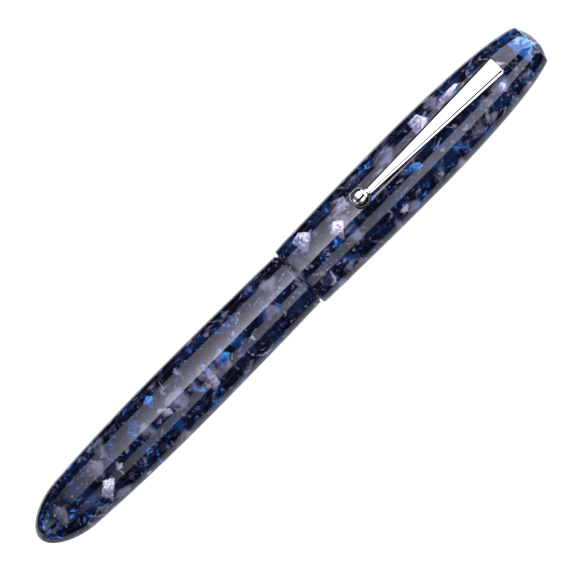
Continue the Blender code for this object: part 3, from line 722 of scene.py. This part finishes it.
def cap():
    """A shell with a domed crown, a rounded lip, a thread inside and a slot for the clip."""
    dome = [(PEN_LENGTH - DOME_FALL * r * r, r) for r in spread(0.0, DOME_RADIUS, 12)]
    edge = (CROWN_EDGE, cap_radius(CROWN_EDGE))
    corner = fillet([dome[-1], CROWN_CORNER, edge], 6)[1:-1]
    crown = [(s, cap_radius(s)) for s in spread(CROWN_EDGE, CAP_WIDEST, 50)]
    skirt = [(s, cap_radius(s)) for s in spread(CAP_WIDEST, LIP + LIP_END, 36)[1:]]
    lip = []
    for angle in spread(math.pi / 2.0, 0.0, 8)[1:]:
        station = LIP + LIP_ROUND * (1.0 - math.cos(angle))
        lip.append((station, cap_radius(LIP) - LIP_ROUND + LIP_ROUND * math.sin(angle)))
    mouth = [(LIP, 6.8), (LIP + 0.18, THREAD_ROOM)]
    thread = [(s, THREAD_ROOM) for s in spread(78.8, 86.8, 110)]
    inside = fillet([
        (88.0, THREAD_ROOM), (88.0, 6.35), (105.3, 6.35), (105.3, 6.10), (134.3, 6.10),
        (134.3, 4.6), (139.4, 4.6), (139.4, 1.1), (144.6, 1.1), (144.6, 0.0),
    ])
    made = lathe(
        "cap_body", dome + corner + crown + skirt + lip + mouth + thread + inside, RESIN, 160,
        helix(78.8, 86.8, THREAD_PITCH, -RIDGE_HEIGHT, THREAD_STARTS),
    )
    slot = box_mesh("clip_slot", (138.45, -2.56, 3.0), (139.32, 2.56, 9.0))
    cut(made, [slot])
    fit(made, "cap", "cap_shell")


def liner():
    """A cup that seals round the nib."""
    end = last("inner_cap")
    mouth = first("inner_cap")
    bottom = end - 1.2
    path = fillet([
        (end, 0.0), (end, 5.95, 0.4), (mouth, 5.95, 0.2), (mouth, 4.85, 0.5),
        (bottom, 4.85, 0.8), (bottom, 0.0),
    ])
    made = lathe("liner_cup", path, BLACK)
    fit(made, "cap_liner", "inner_cap")


# ---------------------------------------------- clip

# The blade rises from its root, where it leaves the cap, towards its tip at the ball.
CLIP_RISE = 0.0818
CLIP_ROOT = 139.25
CLIP_ROOT_HEIGHT = 7.05
CLIP_TIP = 100.2
CLIP_BEND = 138.2
CLIP_THICK = 0.8
ROOT_HALF = 2.45
NECK_HALF = 0.80

# In the photo the blade meets the ball a little to one side of the ball's centre.
NECK_SHIFT = 0.35

BEVEL_SLOPE = 35.0
SIDE_SLOPE = 62.0
RIDGE_RADIUS = 1.45
SIDE_RADIUS = 0.25
BEVEL_FLAT = 0.20
SIDE_FLAT = 0.30
TIP_BEVEL = 0.62
LEG_BEVEL = 0.3
ELBOW_RADIUS = 0.3

# The tab inside the crown, which the screw clamps.
TAB_MIDDLE = (138.9, 0.0, 0.0)
TAB_RADIUS = 2.4
TAB_THICK = 0.56
TAB_HOLE = 1.15


def under(station):
    """Height of the clip blade's underside."""
    return CLIP_ROOT_HEIGHT + (CLIP_ROOT - station) * CLIP_RISE


def clip_ridge(size):
    """The clip's long edge, as inset and drop: a steep side, a bevel and a soft ridge."""
    bevel, side = math.radians(BEVEL_SLOPE), math.radians(SIDE_SLOPE)
    out, drop = 0.0, 0.0
    path = [(out, drop)]
    for radius, low, high, flat, steps in (
        (RIDGE_RADIUS, 0.0, bevel, BEVEL_FLAT, 9), (SIDE_RADIUS, bevel, side, SIDE_FLAT, 4),
    ):
        start = (out, drop)
        for angle in spread(low, high, steps)[1:]:
            out = start[0] + radius * (math.sin(angle) - math.sin(low))
            drop = start[1] + radius * (math.cos(low) - math.cos(angle))
            path.append((out, drop))
        out, drop = out + flat * math.cos(high), drop + flat * math.sin(high)
        path.append((out, drop))
    return [((path[-1][0] - x) * size, y * size) for x, y in reversed(path)]


def clip_row(inner, outer, half, size, aside=0.0):
    """One cross-section of the strip, from its inner line to its outer face."""
    inner, outer = Vector(inner), Vector(outer)
    down = (inner - outer).normalized()
    row = [point(inner.x, aside - half, inner.y)]
    bevel = clip_ridge(size)
    for inset, drop in bevel:
        place = outer + down * drop
        row.append(point(place.x, aside + inset - half, place.y))
    for inset, drop in reversed(bevel):
        place = outer + down * drop
        row.append(point(place.x, aside + half - inset, place.y))
    return row + [point(inner.x, aside + half, inner.y)]


def clip_rows():
    """Cross-sections of the blade, of the elbow at its root and of the leg down the slot."""
    slope = math.atan(CLIP_RISE)
    lean = Vector((math.sin(slope), math.cos(slope)))
    rows = []
    for station in spread(CLIP_TIP, CLIP_BEND, 24):
        share = (station - CLIP_TIP) / (CLIP_ROOT - CLIP_TIP)
        half = NECK_HALF + (ROOT_HALF - NECK_HALF) * share
        size = TIP_BEVEL + (1.0 - TIP_BEVEL) * share
        start = Vector((station, under(station)))
        aside = -NECK_SHIFT * (1.0 - share)
        rows.append(clip_row(start, start + lean * CLIP_THICK, half, size, aside))
    knee = Vector((138.55, under(138.55)))
    corner = Vector((139.2, under(139.2))) + lean * CLIP_THICK
    centre = corner + Vector((-ELBOW_RADIUS, -ELBOW_RADIUS))
    for angle in spread(math.pi / 2.0 - slope, 0.0, 5):
        outer = centre + Vector((math.cos(angle), math.sin(angle))) * ELBOW_RADIUS
        rows.append(clip_row(knee, outer, ROOT_HALF, 1.0))
    for height in spread(6.9, 2.2, 4):
        rows.append(clip_row((138.6, height), (139.2, height), ROOT_HALF, LEG_BEVEL))
    return rows


def strip_mesh(name, rows):
    """A closed solid through rows of points, each row a closed cross-section."""
    mesh = bpy.data.meshes.new(name)
    points = [p for row in rows for p in row]
    wide = len(rows[0])
    faces = [tuple(range(wide))[::-1], tuple(range(len(points) - wide, len(points)))]
    for i in range(len(rows) - 1):
        for j in range(wide):
            a, b = i * wide + j, i * wide + (j + 1) % wide
            faces.append((a, b, b + wide, a + wide))
    mesh.from_pydata(points, [], faces)
    outward(mesh)
    return mesh


def clip():
    """The bent strip with its tab."""
    made = add_piece("clip_strip", strip_mesh("clip_strip", clip_rows()), CHROME)
    lengthwise = Matrix.Rotation(math.pi / 2.0, 4, "Y")
    plate = box_mesh("clip_plate", (138.62, -TAB_RADIUS, 0.0), (139.18, TAB_RADIUS, 2.5))
    tab = rod_mesh("clip_tab", TAB_RADIUS, TAB_THICK, TAB_MIDDLE, lengthwise)
    cut(made, [plate, tab], "UNION")
    cut(made, [rod_mesh("clip_hole", TAB_HOLE, 3.0, TAB_MIDDLE, lengthwise)])
    edge = made.modifiers.new("edge", "BEVEL")
    edge.width = 0.06 * MM
    edge.segments = 2
    edge.limit_method = "ANGLE"
    edge.angle_limit = math.radians(45.0)
    settle(made)
    soften(made.data, 40.0)
    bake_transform(made)
    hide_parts("clip")


BEAD_POWER = 2.25
COLLAR_PLACE = (100.85, -0.2, 10.75)
COLLAR_SIZE = (0.42 * MM, 0.95 * MM, 0.75 * MM)


def clip_bead():
    """The slightly squared ball, with the collar where the blade meets it."""
    low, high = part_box("clip_ball")
    centre = (low + high) / 2.0
    size = (high - low) / 2.0
    bm = bmesh.new()
    bmesh.ops.create_uvsphere(bm, u_segments=96, v_segments=64, radius=1.0)
    for vert in bm.verts:
        reach = min(math.hypot(vert.co.y, vert.co.z), 1.0)
        vert.co.x = math.copysign((1.0 - reach ** BEAD_POWER) ** (1.0 / BEAD_POWER), vert.co.x)
    bm.transform(Matrix.Translation(centre) @ Matrix.Diagonal((*size, 1.0)))
    collar = bmesh.ops.create_uvsphere(bm, u_segments=48, v_segments=24, radius=1.0)["verts"]
    place = Matrix.Translation(point(*COLLAR_PLACE)) @ Matrix.Diagonal((*COLLAR_SIZE, 1.0))
    bmesh.ops.transform(bm, matrix=place, verts=collar)
    mesh = closed("clip_bead", bm)
    mesh.shade_smooth()
    made = add_piece("clip_bead", mesh, CHROME)
    fit(made, "clip", "clip_ball")


def clip_screw():
    """The screw with a driver slot that holds the clip's tab inside the crown."""
    path = fillet([
        (144.3, 0.0), (144.3, 1.0, 0.2), (138.05, 1.0), (138.05, 1.9, 0.1), (136.8, 1.9, 0.3),
        (136.8, 0.0),
    ])
    made = lathe("crown_screw", path, CHROME, 64)
    cut(made, [box_mesh("driver_slot", (135.8, -0.25, -3.0), (137.4, 0.25, 3.0))])
    fit(made, "cap", "clip_screw")


# ---------------------------------------------- writing end

GRIP_END = 105.3
GRIP_WAIST = 100.6
GRIP_WAIST_RADIUS = 4.9
GRIP_FLARE = 104.4
GRIP_REAR = 86.7


def grip():
    """The grip: a waist, a flare at the nib and a thread for the barrel."""
    waist = []
    for station in spread(100.4, 87.0, 30):
        reach = (GRIP_WAIST - station) / (GRIP_WAIST - GRIP_REAR)
        waist.append((station, GRIP_WAIST_RADIUS + 1.1 * reach**1.5))
    flare = []
    for station in spread(GRIP_FLARE, GRIP_WAIST, 10):
        reach = (station - GRIP_WAIST) / (GRIP_FLARE - GRIP_WAIST)
        flare.append((station, GRIP_WAIST_RADIUS + 0.45 * reach**2))
    front = fillet([
        (GRIP_END, 4.15, 0.1), (GRIP_END, 5.25, 0.5), (104.5, 5.36, 0.2), (GRIP_FLARE, 5.35),
    ], 6)[:-1]
    rear = fillet([(GRIP_REAR, 6.0, 0.3), (GRIP_REAR, 4.85, 0.1), (86.2, 4.7)])
    thread = [(s, 4.85) for s in spread(86.0, 79.8, 90)]
    tail = fillet([
        (79.2, 4.7, 0.2), (79.2, 3.95, 0.1), (92.0, 3.95), (92.0, 3.75), (GRIP_FLARE, 3.75),
        (GRIP_FLARE, 4.15),
    ])
    made = lathe(
        "grip_section", front + flare + waist + rear + thread + tail, RESIN, 128,
        helix(79.9, 86.0, 0.6, 0.25),
    )
    fit(made, "section", "section")


def nib_collar():
    """The nib unit's collar, with the nipple that enters the converter."""
    path = fillet([
        (105.6, 3.25, 0.08), (105.6, 4.0, 0.2), (104.6, 4.0), (104.6, 3.65), (92.4, 3.65, 0.15),
        (92.4, 1.25, 0.1), (86.5, 1.25, 0.2), (86.5, 0.55, 0.1), (95.1, 0.55), (95.1, 3.25),
    ])
    made = lathe("nib_collar", path, BLACK, 96)
    fit(made, "section", "nib_housing")


FEED_TIP = 123.0
FEED_NOSE = 113.6
FEED_RADIUS = 2.82
FIN_ROOT = 1.9
FIN_COUNT = 16
FIN_START = 106.3
FIN_PITCH = 0.45
FIN_GAP = 0.2


def feed():
    """The ink feed: a tapered nose, a row of fins, a sloping top and the ink channel."""
    nose = []
    for station in spread(FEED_TIP, FEED_NOSE, 16):
        reach = (FEED_TIP - station) / (FEED_TIP - FEED_NOSE)
        nose.append((station, 0.5 + (FEED_RADIUS - 0.5) * reach**0.8))
    fins = []
    for index in reversed(range(FIN_COUNT)):
        rear = FIN_START + index * FIN_PITCH
        gap = rear + FIN_GAP
        fins += [(gap, FEED_RADIUS), (gap, FIN_ROOT), (rear, FIN_ROOT), (rear, FEED_RADIUS)]
    path = [(FEED_TIP, 0.0)] + nose + fins + [(95.4, FEED_RADIUS), (95.4, 0.0)]
    made = lathe("ink_feed", path, BLACK, 96)
    top = box_mesh("feed_top", (-5.0, -5.0, 0.0), (25.0, 5.0, 5.0))
    top.transform(Matrix.Translation(-Vector(point(0.0, 0.0, 0.0))))
    tilt = Matrix.Rotation(math.atan(0.15), 4, "Y")
    top.transform(Matrix.Translation(point(106.5, 0.0, 2.60)) @ tilt)
    channel = box_mesh("ink_channel", (96.0, -0.15, 1.4), (124.0, 0.15, 4.0))
    cut(made, [top, channel])
    fit(made, "section", "feed")


NIB_REAR = 95.5
NIB_BEND = 107.5
NIB_TIP = 127.0
NIB_WINGS_START = 105.9
NIB_WINGS = 110.5
BREATHER = 114.5
TIP_RADIUS = 0.44
SLIT_HALF = 0.04


def nib_crest(station):
    """Height of the nib's top line, which dips towards the paper."""
    reach = max(0.0, (station - NIB_BEND) / (NIB_TIP - NIB_BEND))
    return 3.2 - 2.1 * reach**1.3


def nib_section(station):
    """The nib's half width and the radius it is curved to: tail, shoulders, then tines."""
    if station <= NIB_WINGS_START:
        return 3.08, 3.2
    if station <= NIB_WINGS:
        reach = (station - NIB_WINGS_START) / (NIB_WINGS - NIB_WINGS_START)
        ease = reach * reach * (3.0 - 2.0 * reach)
        return 3.08 + 1.27 * ease, 3.2 + 1.5 * ease
    reach = (NIB_TIP - station) / (NIB_TIP - NIB_WINGS)
    return 0.45 + 3.9 * reach**1.45, 3.4 + 1.3 * reach


def nib():
    """Curved sheet metal with a breather hole and a slit."""
    rows = []
    for station in [NIB_REAR] + spread(100.0, NIB_TIP, 90):
        half, curve = nib_section(station)
        limit = math.asin(half / curve)
        rows.append([
            point(station, curve * math.sin(a), nib_crest(station) - curve * (1.0 - math.cos(a)))
            for a in spread(-limit, limit, 32)
        ])
    made = add_piece("nib_sheet", grid_mesh("nib_sheet", rows), NIB_STEEL)
    metal = made.modifiers.new("sheet", "SOLIDIFY")
    metal.thickness = 0.28 * MM
    metal.offset = -1.0
    hole = rod_mesh("breather", 0.6, 8.0, (BREATHER, 0.0, 0.0), Matrix.Identity(4))
    slit = box_mesh("nib_slit", (BREATHER, -SLIT_HALF, -4.0), (128.0, SLIT_HALF, 4.0))
    cut(made, [hole, slit])
    fit(made, "section", "nib")


def nib_tips():
    """The tipping pellet's halves, on both sides of the slit."""
    height = nib_crest(NIB_TIP) - 0.15
    for name, old, side in (
        ("tip_left", "nib_tip_left", 1.0), ("tip_right", "nib_tip_right", -1.0),
    ):
        bm = bmesh.new()
        bmesh.ops.create_uvsphere(bm, u_segments=32, v_segments=20, radius=TIP_RADIUS * MM)
        bm.transform(Matrix.Translation(point(127.46, 0.0, height)))
        made = add_piece(name, closed(name, bm), TIPPING)
        low, high = sorted((side * SLIT_HALF, -side * 2.0))
        cut(made, [box_mesh(f"{name}_cut", (126.0, low, -1.0), (129.0, high, 3.0))])
        fit(made, "section", old)


# ---------------------------------------------- converter

TUBE_BORE = 2.95
KNOB_BORE = 3.35


def converter():
    """The plug, the ink tube, the metal sleeve and the guide disc."""
    mouth = fillet([
        (92.1, 1.35, 0.3), (92.1, 3.7, 0.4), (85.95, 3.7, 0.2), (85.95, 2.85), (82.5, 2.85, 0.1),
        (82.5, 0.6), (86.3, 0.6), (86.3, 1.35),
    ])
    plug = lathe("converter_plug", mouth, BLACK, 96)
    fit(plug, "converter", "converter_mouth")
    walls = fillet([
        (85.7, TUBE_BORE, 0.1), (85.7, 3.4, 0.15), (52.0, 3.4, 0.1), (52.0, TUBE_BORE, 0.1),
    ])
    tube = lathe("ink_tube", walls, CLEAR, 96)
    fit(tube, "converter", "converter_tube")
    bands = fillet([
        (55.0, 3.5, 0.08), (55.0, 3.75, 0.12), (54.0, 3.75), (53.9, 3.6, 0.1), (53.5, 3.6, 0.1),
        (53.4, 3.75), (39.6, 3.75), (39.5, 3.62, 0.1), (39.2, 3.62, 0.1), (39.1, 3.75),
        (38.0, 3.75, 0.3), (38.0, 3.0, 0.15), (38.7, 3.0), (38.7, 3.5),
    ])
    sleeve = lathe("metal_sleeve", bands, CHROME, 96)
    fit(sleeve, "converter", "converter_ferrule")
    fit(guide_disc(), "converter", "converter_guide")


def turning_knob():
    """The ribbed knob, and the screw fixed in it that drives the plunger."""
    shell = fillet([
        (24.0, 0.0), (24.0, 2.2), (47.7, 2.2, 0.1), (47.7, KNOB_BORE, 0.1), (39.0, KNOB_BORE, 0.1),
        (39.0, 2.85), (37.6, 2.85), (37.6, 3.45, 0.3),
    ])
    ribs = [(s, 3.6) for s in spread(37.2, 22.8, 48)]
    base = fillet([(22.4, 3.55, 0.2), (22.0, 3.1, 0.3), (22.0, 0.0)])
    made = lathe(
        "turning_knob", shell + ribs + base, BLACK, 144, flutes(23.2, 36.9, 24, 0.22)
    )
    fit(made, "knob", "converter_knob")
    screw = [(56.0, 0.0), (56.0, 0.7)] + [(s, 0.9) for s in spread(55.8, 25.4, 300)]
    screw += [(25.2, 0.9), (25.0, 2.0), (24.2, 2.0), (24.2, 0.0)]
    made = lathe("spindle_screw", screw, CHROME, 48, helix(25.6, 55.8, 2.0, 0.3, starts=2))
    fit(made, "knob", "converter_spindle")


GUIDE_HOLE = 1.85
FLAT_HALF = 1.45


def guide_disc():
    """A disc with a double-D hole, which keeps the plunger from turning."""
    corner = math.acos(FLAT_HALF / GUIDE_HOLE)
    hole = []
    for start in (corner, corner + math.pi):
        for angle in spread(start, start + math.pi - 2.0 * corner, 12):
            hole.append((GUIDE_HOLE * math.sin(angle), GUIDE_HOLE * math.cos(angle)))
    low, high = first("converter_guide"), last("converter_guide")
    path = fillet([(high, 0.0), (high, 3.4, 0.15), (low, 3.4, 0.15), (low, 0.0)])
    made = lathe("guide_disc", path, GREY, 96)
    bm = bmesh.new()
    face = bm.faces.new([bm.verts.new(point(low - 1.0, y, z)) for y, z in hole])
    grown = bmesh.ops.extrude_face_region(bm, geom=[face])["geom"]
    verts = [v for v in grown if isinstance(v, bmesh.types.BMVert)]
    bmesh.ops.translate(bm, verts=verts, vec=((high - low + 2.0) * MM, 0.0, 0.0))
    bmesh.ops.recalc_face_normals(bm, faces=bm.faces)
    cut(made, [closed("guide_hole", bm)])
    return made


def piston():
    """The flatted plunger and its rubber seal."""
    path = fillet([
        (82.2, 0.0), (82.2, 2.6, 0.15), (81.9, 2.6), (81.9, 1.95), (79.7, 1.95), (79.7, 2.6),
        (79.3, 2.6, 0.1), (79.3, 1.7), (49.0, 1.7, 0.1), (49.0, 1.05), (78.5, 1.05), (78.5, 0.0),
    ])
    made = lathe("flatted_plunger", path, GREY, 96)
    flats = [
        box_mesh("flat_left", (48.0, 1.35, -3.0), (79.29, 3.0, 3.0)),
        box_mesh("flat_right", (48.0, -3.0, -3.0), (79.29, -1.35, 3.0)),
    ]
    cut(made, flats)
    fit(made, "piston", "piston_plunger")
    seal = fillet([
        (81.8, 2.05), (81.8, 2.9, 0.15), (81.3, 2.9, 0.15), (81.1, 2.6, 0.15), (80.5, 2.6, 0.15),
        (80.3, 2.9, 0.15), (79.8, 2.9, 0.15), (79.8, 2.05),
    ])
    ring = lathe("plunger_ring", seal, RUBBER, 96)
    fit(ring, "piston", "piston_seal")


# ---------------------------------------------- studio

# The picture's width at the pen, and how far its centre lies from the pen's middle, in mm.
FRAME_WIDTH = 120.6
AIM_RIGHT = -0.5501
AIM_UP = 0.804
LENS = 1000.0
SENSOR = 36.0

# The pen's slope in the picture, and where the camera is, in degrees round it from the clip.
PEN_ANGLE = math.radians(45.22)
CAMERA_ROUND = 15.2
along = Vector((1.0, 0.0, 0.0))
toward = straight_out(CAMERA_ROUND)
across = toward.cross(along) * -1.0
right = along * math.cos(PEN_ANGLE) + across * math.sin(PEN_ANGLE)
up = along * math.sin(PEN_ANGLE) - across * math.cos(PEN_ANGLE)
MIDDLE = Vector(point(PEN_LENGTH / 2.0, 0.0, 0.0))

LAMP_COLOUR = (1.05, 1.03, 1.19, 1.0)
PANEL_DISTANCE = 0.75
PANEL_REACH = 3.0

BLACK_PAINT = (0.0, 0.0, 0.0, 1.0)
WHITE_LIGHT = (1.0, 1.0, 1.0, 1.0)
CARD_REACH = 0.6
CARD_HEIGHT = 0.1 * MM
END_CARD_PLACE = 1.1
END_CARD_HALF = 0.9
END_CARD_TOP = 0.55
END_CARD_GLOW = 4.5
FLOOR_HALF = 3
FLOOR_PAINT = (0.8, 0.8, 0.8, 1.0)
FLOOR_GLOW = 0.8
WORLD_COLOUR = (0.030, 0.022, 0.017, 1)


def camera():
    """A very long lens, which sees the pen almost in parallel."""
    data = bpy.data.cameras.new("camera")
    data.lens = LENS
    data.sensor_width = SENSOR
    made = placed("camera", data)
    aim = MIDDLE + (right * AIM_RIGHT + up * AIM_UP) * MM
    distance = FRAME_WIDTH * MM * LENS / SENSOR
    turn = Matrix((right, up, toward)).transposed().to_4x4()
    made.matrix_world = Matrix.Translation(aim + toward * distance) @ turn
    bpy.context.scene.camera = made


def sheet(name, corners):
    """A flat four-cornered object."""
    mesh = bpy.data.meshes.new(name)
    mesh.from_pydata(corners, [], [(0, 1, 2, 3)])
    return placed(name, mesh)


def panel(name, near_deg, far_deg, glow):
    """A lit panel that faces the pen, between two angles about the pen from the camera's."""
    middle = math.radians((near_deg + far_deg) / 2.0)
    half = math.radians(abs(far_deg - near_deg) / 2.0)
    out = toward * math.cos(middle) + across * math.sin(middle)
    sideways = across * math.cos(middle) - toward * math.sin(middle)
    width = PANEL_DISTANCE * math.tan(half)
    centre = MIDDLE + out * PANEL_DISTANCE
    made = sheet(name, [
        centre + along * (PANEL_REACH * end) + sideways * width * side
        for end, side in ((-1, -1), (1, -1), (1, 1), (-1, 1))
    ])
    material = bpy.data.materials.new(name)
    material.use_nodes = True
    tree = material.node_tree
    tree.nodes.clear()
    coords = node(tree, "ShaderNodeTexCoord").outputs
    x = node(tree, "ShaderNodeSeparateXYZ", {0: coords["Object"]}).outputs[0]
    y = node(tree, "ShaderNodeSeparateXYZ", {0: coords["Generated"]}).outputs[1]
    lit = node(tree, "ShaderNodeEmission", {"Color": LAMP_COLOUR, "Strength": glow(tree, x, y)})
    output = node(tree, "ShaderNodeOutputMaterial")
    tree.links.new(lit.outputs[0], output.inputs["Surface"])
    made.data.materials.append(material)
    made.visible_camera = False


def ends(tree, x, start, full, stop):
    """One between the panel's soft lower end and its sharp upper end, and zero outside."""
    low = step(tree, x, start, full)
    high = minus(tree, 1.0, step(tree, x, stop - 0.01, stop + 0.01))
    return times(tree, low, high)


FAR_START = 0.75
FAR_FULL = 1.20
NOSE_SHARE = 0.7
UPPER_GLOW = 0.45


def far_glow(tree, x):
    """The panels' far ends, weaker beyond the nose. Only the clip's ball is steep enough
    to reflect them."""
    beyond = step(tree, size_of(tree, x), FAR_START, FAR_FULL)
    beyond = times(tree, beyond, plus(tree, NOSE_SHARE, step(tree, x, -0.1, 0.1)))
    beyond = maths(tree, "MINIMUM", beyond, 1.0)
    upper = times(tree, step(tree, x, 0.35, 0.52), UPPER_GLOW)
    return maths(tree, "MAXIMUM", beyond, upper)


KEY_LEVEL = 1.5
KEY_HOT = 6.0
KEY_CROWN = 1.6
KEY_FALL = 2.2
KEY_FAR = 1.9
KEY_LEAST = 0.25


def key_glow(tree, x, y):
    """Brightest near the camera over the pen's middle, less over the cap, dim past the ends."""
    near = maths(tree, "POWER", minus(tree, 1.0, y), KEY_FALL)
    hot_low = step(tree, x, -0.32, 0.04)
    hot_high = minus(tree, 1.0, step(tree, x, 0.08, 0.30))
    hot = times(tree, times(tree, hot_low, hot_high), KEY_HOT)
    crown = times(tree, step(tree, x, 0.05, 0.28), KEY_CROWN)
    base = plus(tree, crown, KEY_LEVEL)
    level = plus(tree, times(tree, near, hot), base)
    level = times(tree, ends(tree, x, -0.30, 0.0, 0.50), level)
    tail = times(tree, far_glow(tree, x), KEY_FAR)
    return plus(tree, level, plus(tree, tail, KEY_LEAST))


SIDE_LEVEL = 1.75
SIDE_FALL = 0.6
SIDE_CAP = 1.2
SIDE_FAR = 1.7
SIDE_LEAST = 0.20


def side_glow(tree, x, y):
    """Dimmer than the key panel, dimmest at its outer side and brighter beside the cap."""
    level = minus(tree, SIDE_LEVEL, times(tree, y, SIDE_FALL))
    cap_side = times(tree, step(tree, x, 0.0, 0.06), SIDE_CAP)
    level = plus(tree, level, cap_side)
    level = times(tree, ends(tree, x, -0.26, -0.02, 0.50), level)
    tail = times(tree, far_glow(tree, x), SIDE_FAR)
    return plus(tree, level, plus(tree, tail, SIDE_LEAST))


def glowing(made, name, colour, glow, roughness=1.0):
    """Gives a sheet a matt paint that also glows white."""
    material, _, shader = blank(name)
    shader.inputs["Base Color"].default_value = colour
    shader.inputs["Roughness"].default_value = roughness
    shader.inputs["Specular IOR Level"].default_value = 0.0
    shader.inputs["Emission Color"].default_value = WHITE_LIGHT
    shader.inputs["Emission Strength"].default_value = glow
    made.data.materials.append(material)


def reflected_only(made):
    """Hides a sheet from everything but mirrored and transmitted rays."""
    made.visible_camera = False
    made.visible_diffuse = False
    made.visible_shadow = False


def card(name, low_y, high_y, glow):
    """A card on the floor beside the pen, dark or lit, which only reflections show."""
    corners = (
        (-CARD_REACH, low_y), (CARD_REACH, low_y), (CARD_REACH, high_y), (-CARD_REACH, high_y),
    )
    made = sheet(name, [(x, y, CARD_HEIGHT) for x, y in corners])
    glowing(made, name, BLACK_PAINT, glow)
    reflected_only(made)
    made.visible_transmission = False


def end_card():
    """A bright upright card beyond the crown, for the pen's rims to reflect."""
    low, high = -END_CARD_HALF, END_CARD_HALF
    corners = ((low, 0.0), (high, 0.0), (high, END_CARD_TOP), (low, END_CARD_TOP))
    made = sheet("crown_end", [(END_CARD_PLACE, y, z) for y, z in corners])
    glowing(made, "crown_end", BLACK_PAINT, END_CARD_GLOW, roughness=0.5)
    reflected_only(made)


def floor():
    """A pale floor that glows a little, so that it reads as white as in the photo."""
    low, high = -FLOOR_HALF, FLOOR_HALF
    made = sheet("floor", [(low, low, 0), (high, low, 0), (high, high, 0), (low, high, 0)])
    glowing(made, "pale_floor", FLOOR_PAINT, FLOOR_GLOW)


def surroundings():
    """White behind the pen for the camera, and nearly black for everything else."""
    world = bpy.data.worlds.new("studio")
    bpy.context.scene.world = world
    world.use_nodes = True
    tree = world.node_tree
    seen = node(tree, "ShaderNodeLightPath").outputs["Is Camera Ray"]
    colour = mixed(tree, seen, WORLD_COLOUR, WHITE_LIGHT)
    tree.links.new(colour, tree.nodes["Background"].inputs["Color"])
    bpy.context.scene.view_settings.view_transform = "Standard"


camera()
panel("key_panel", -7.5, -74.5, key_glow)
panel("side_panel", 21.8, 51.8, side_glow)
card("white_left", 0.0, 0.024, 1.5)
card("white_right", -0.0197, 0.0, 0.6)
card("dark_left", 0.024, 0.6, 0.0)
card("dark_right", -0.6, -0.0197, 0.0)
end_card()
floor()
surroundings()
barrel()
cap()
liner()
clip()
clip_bead()
clip_screw()
grip()
nib_collar()
feed()
nib()
nib_tips()
converter()
turning_knob()
piston()
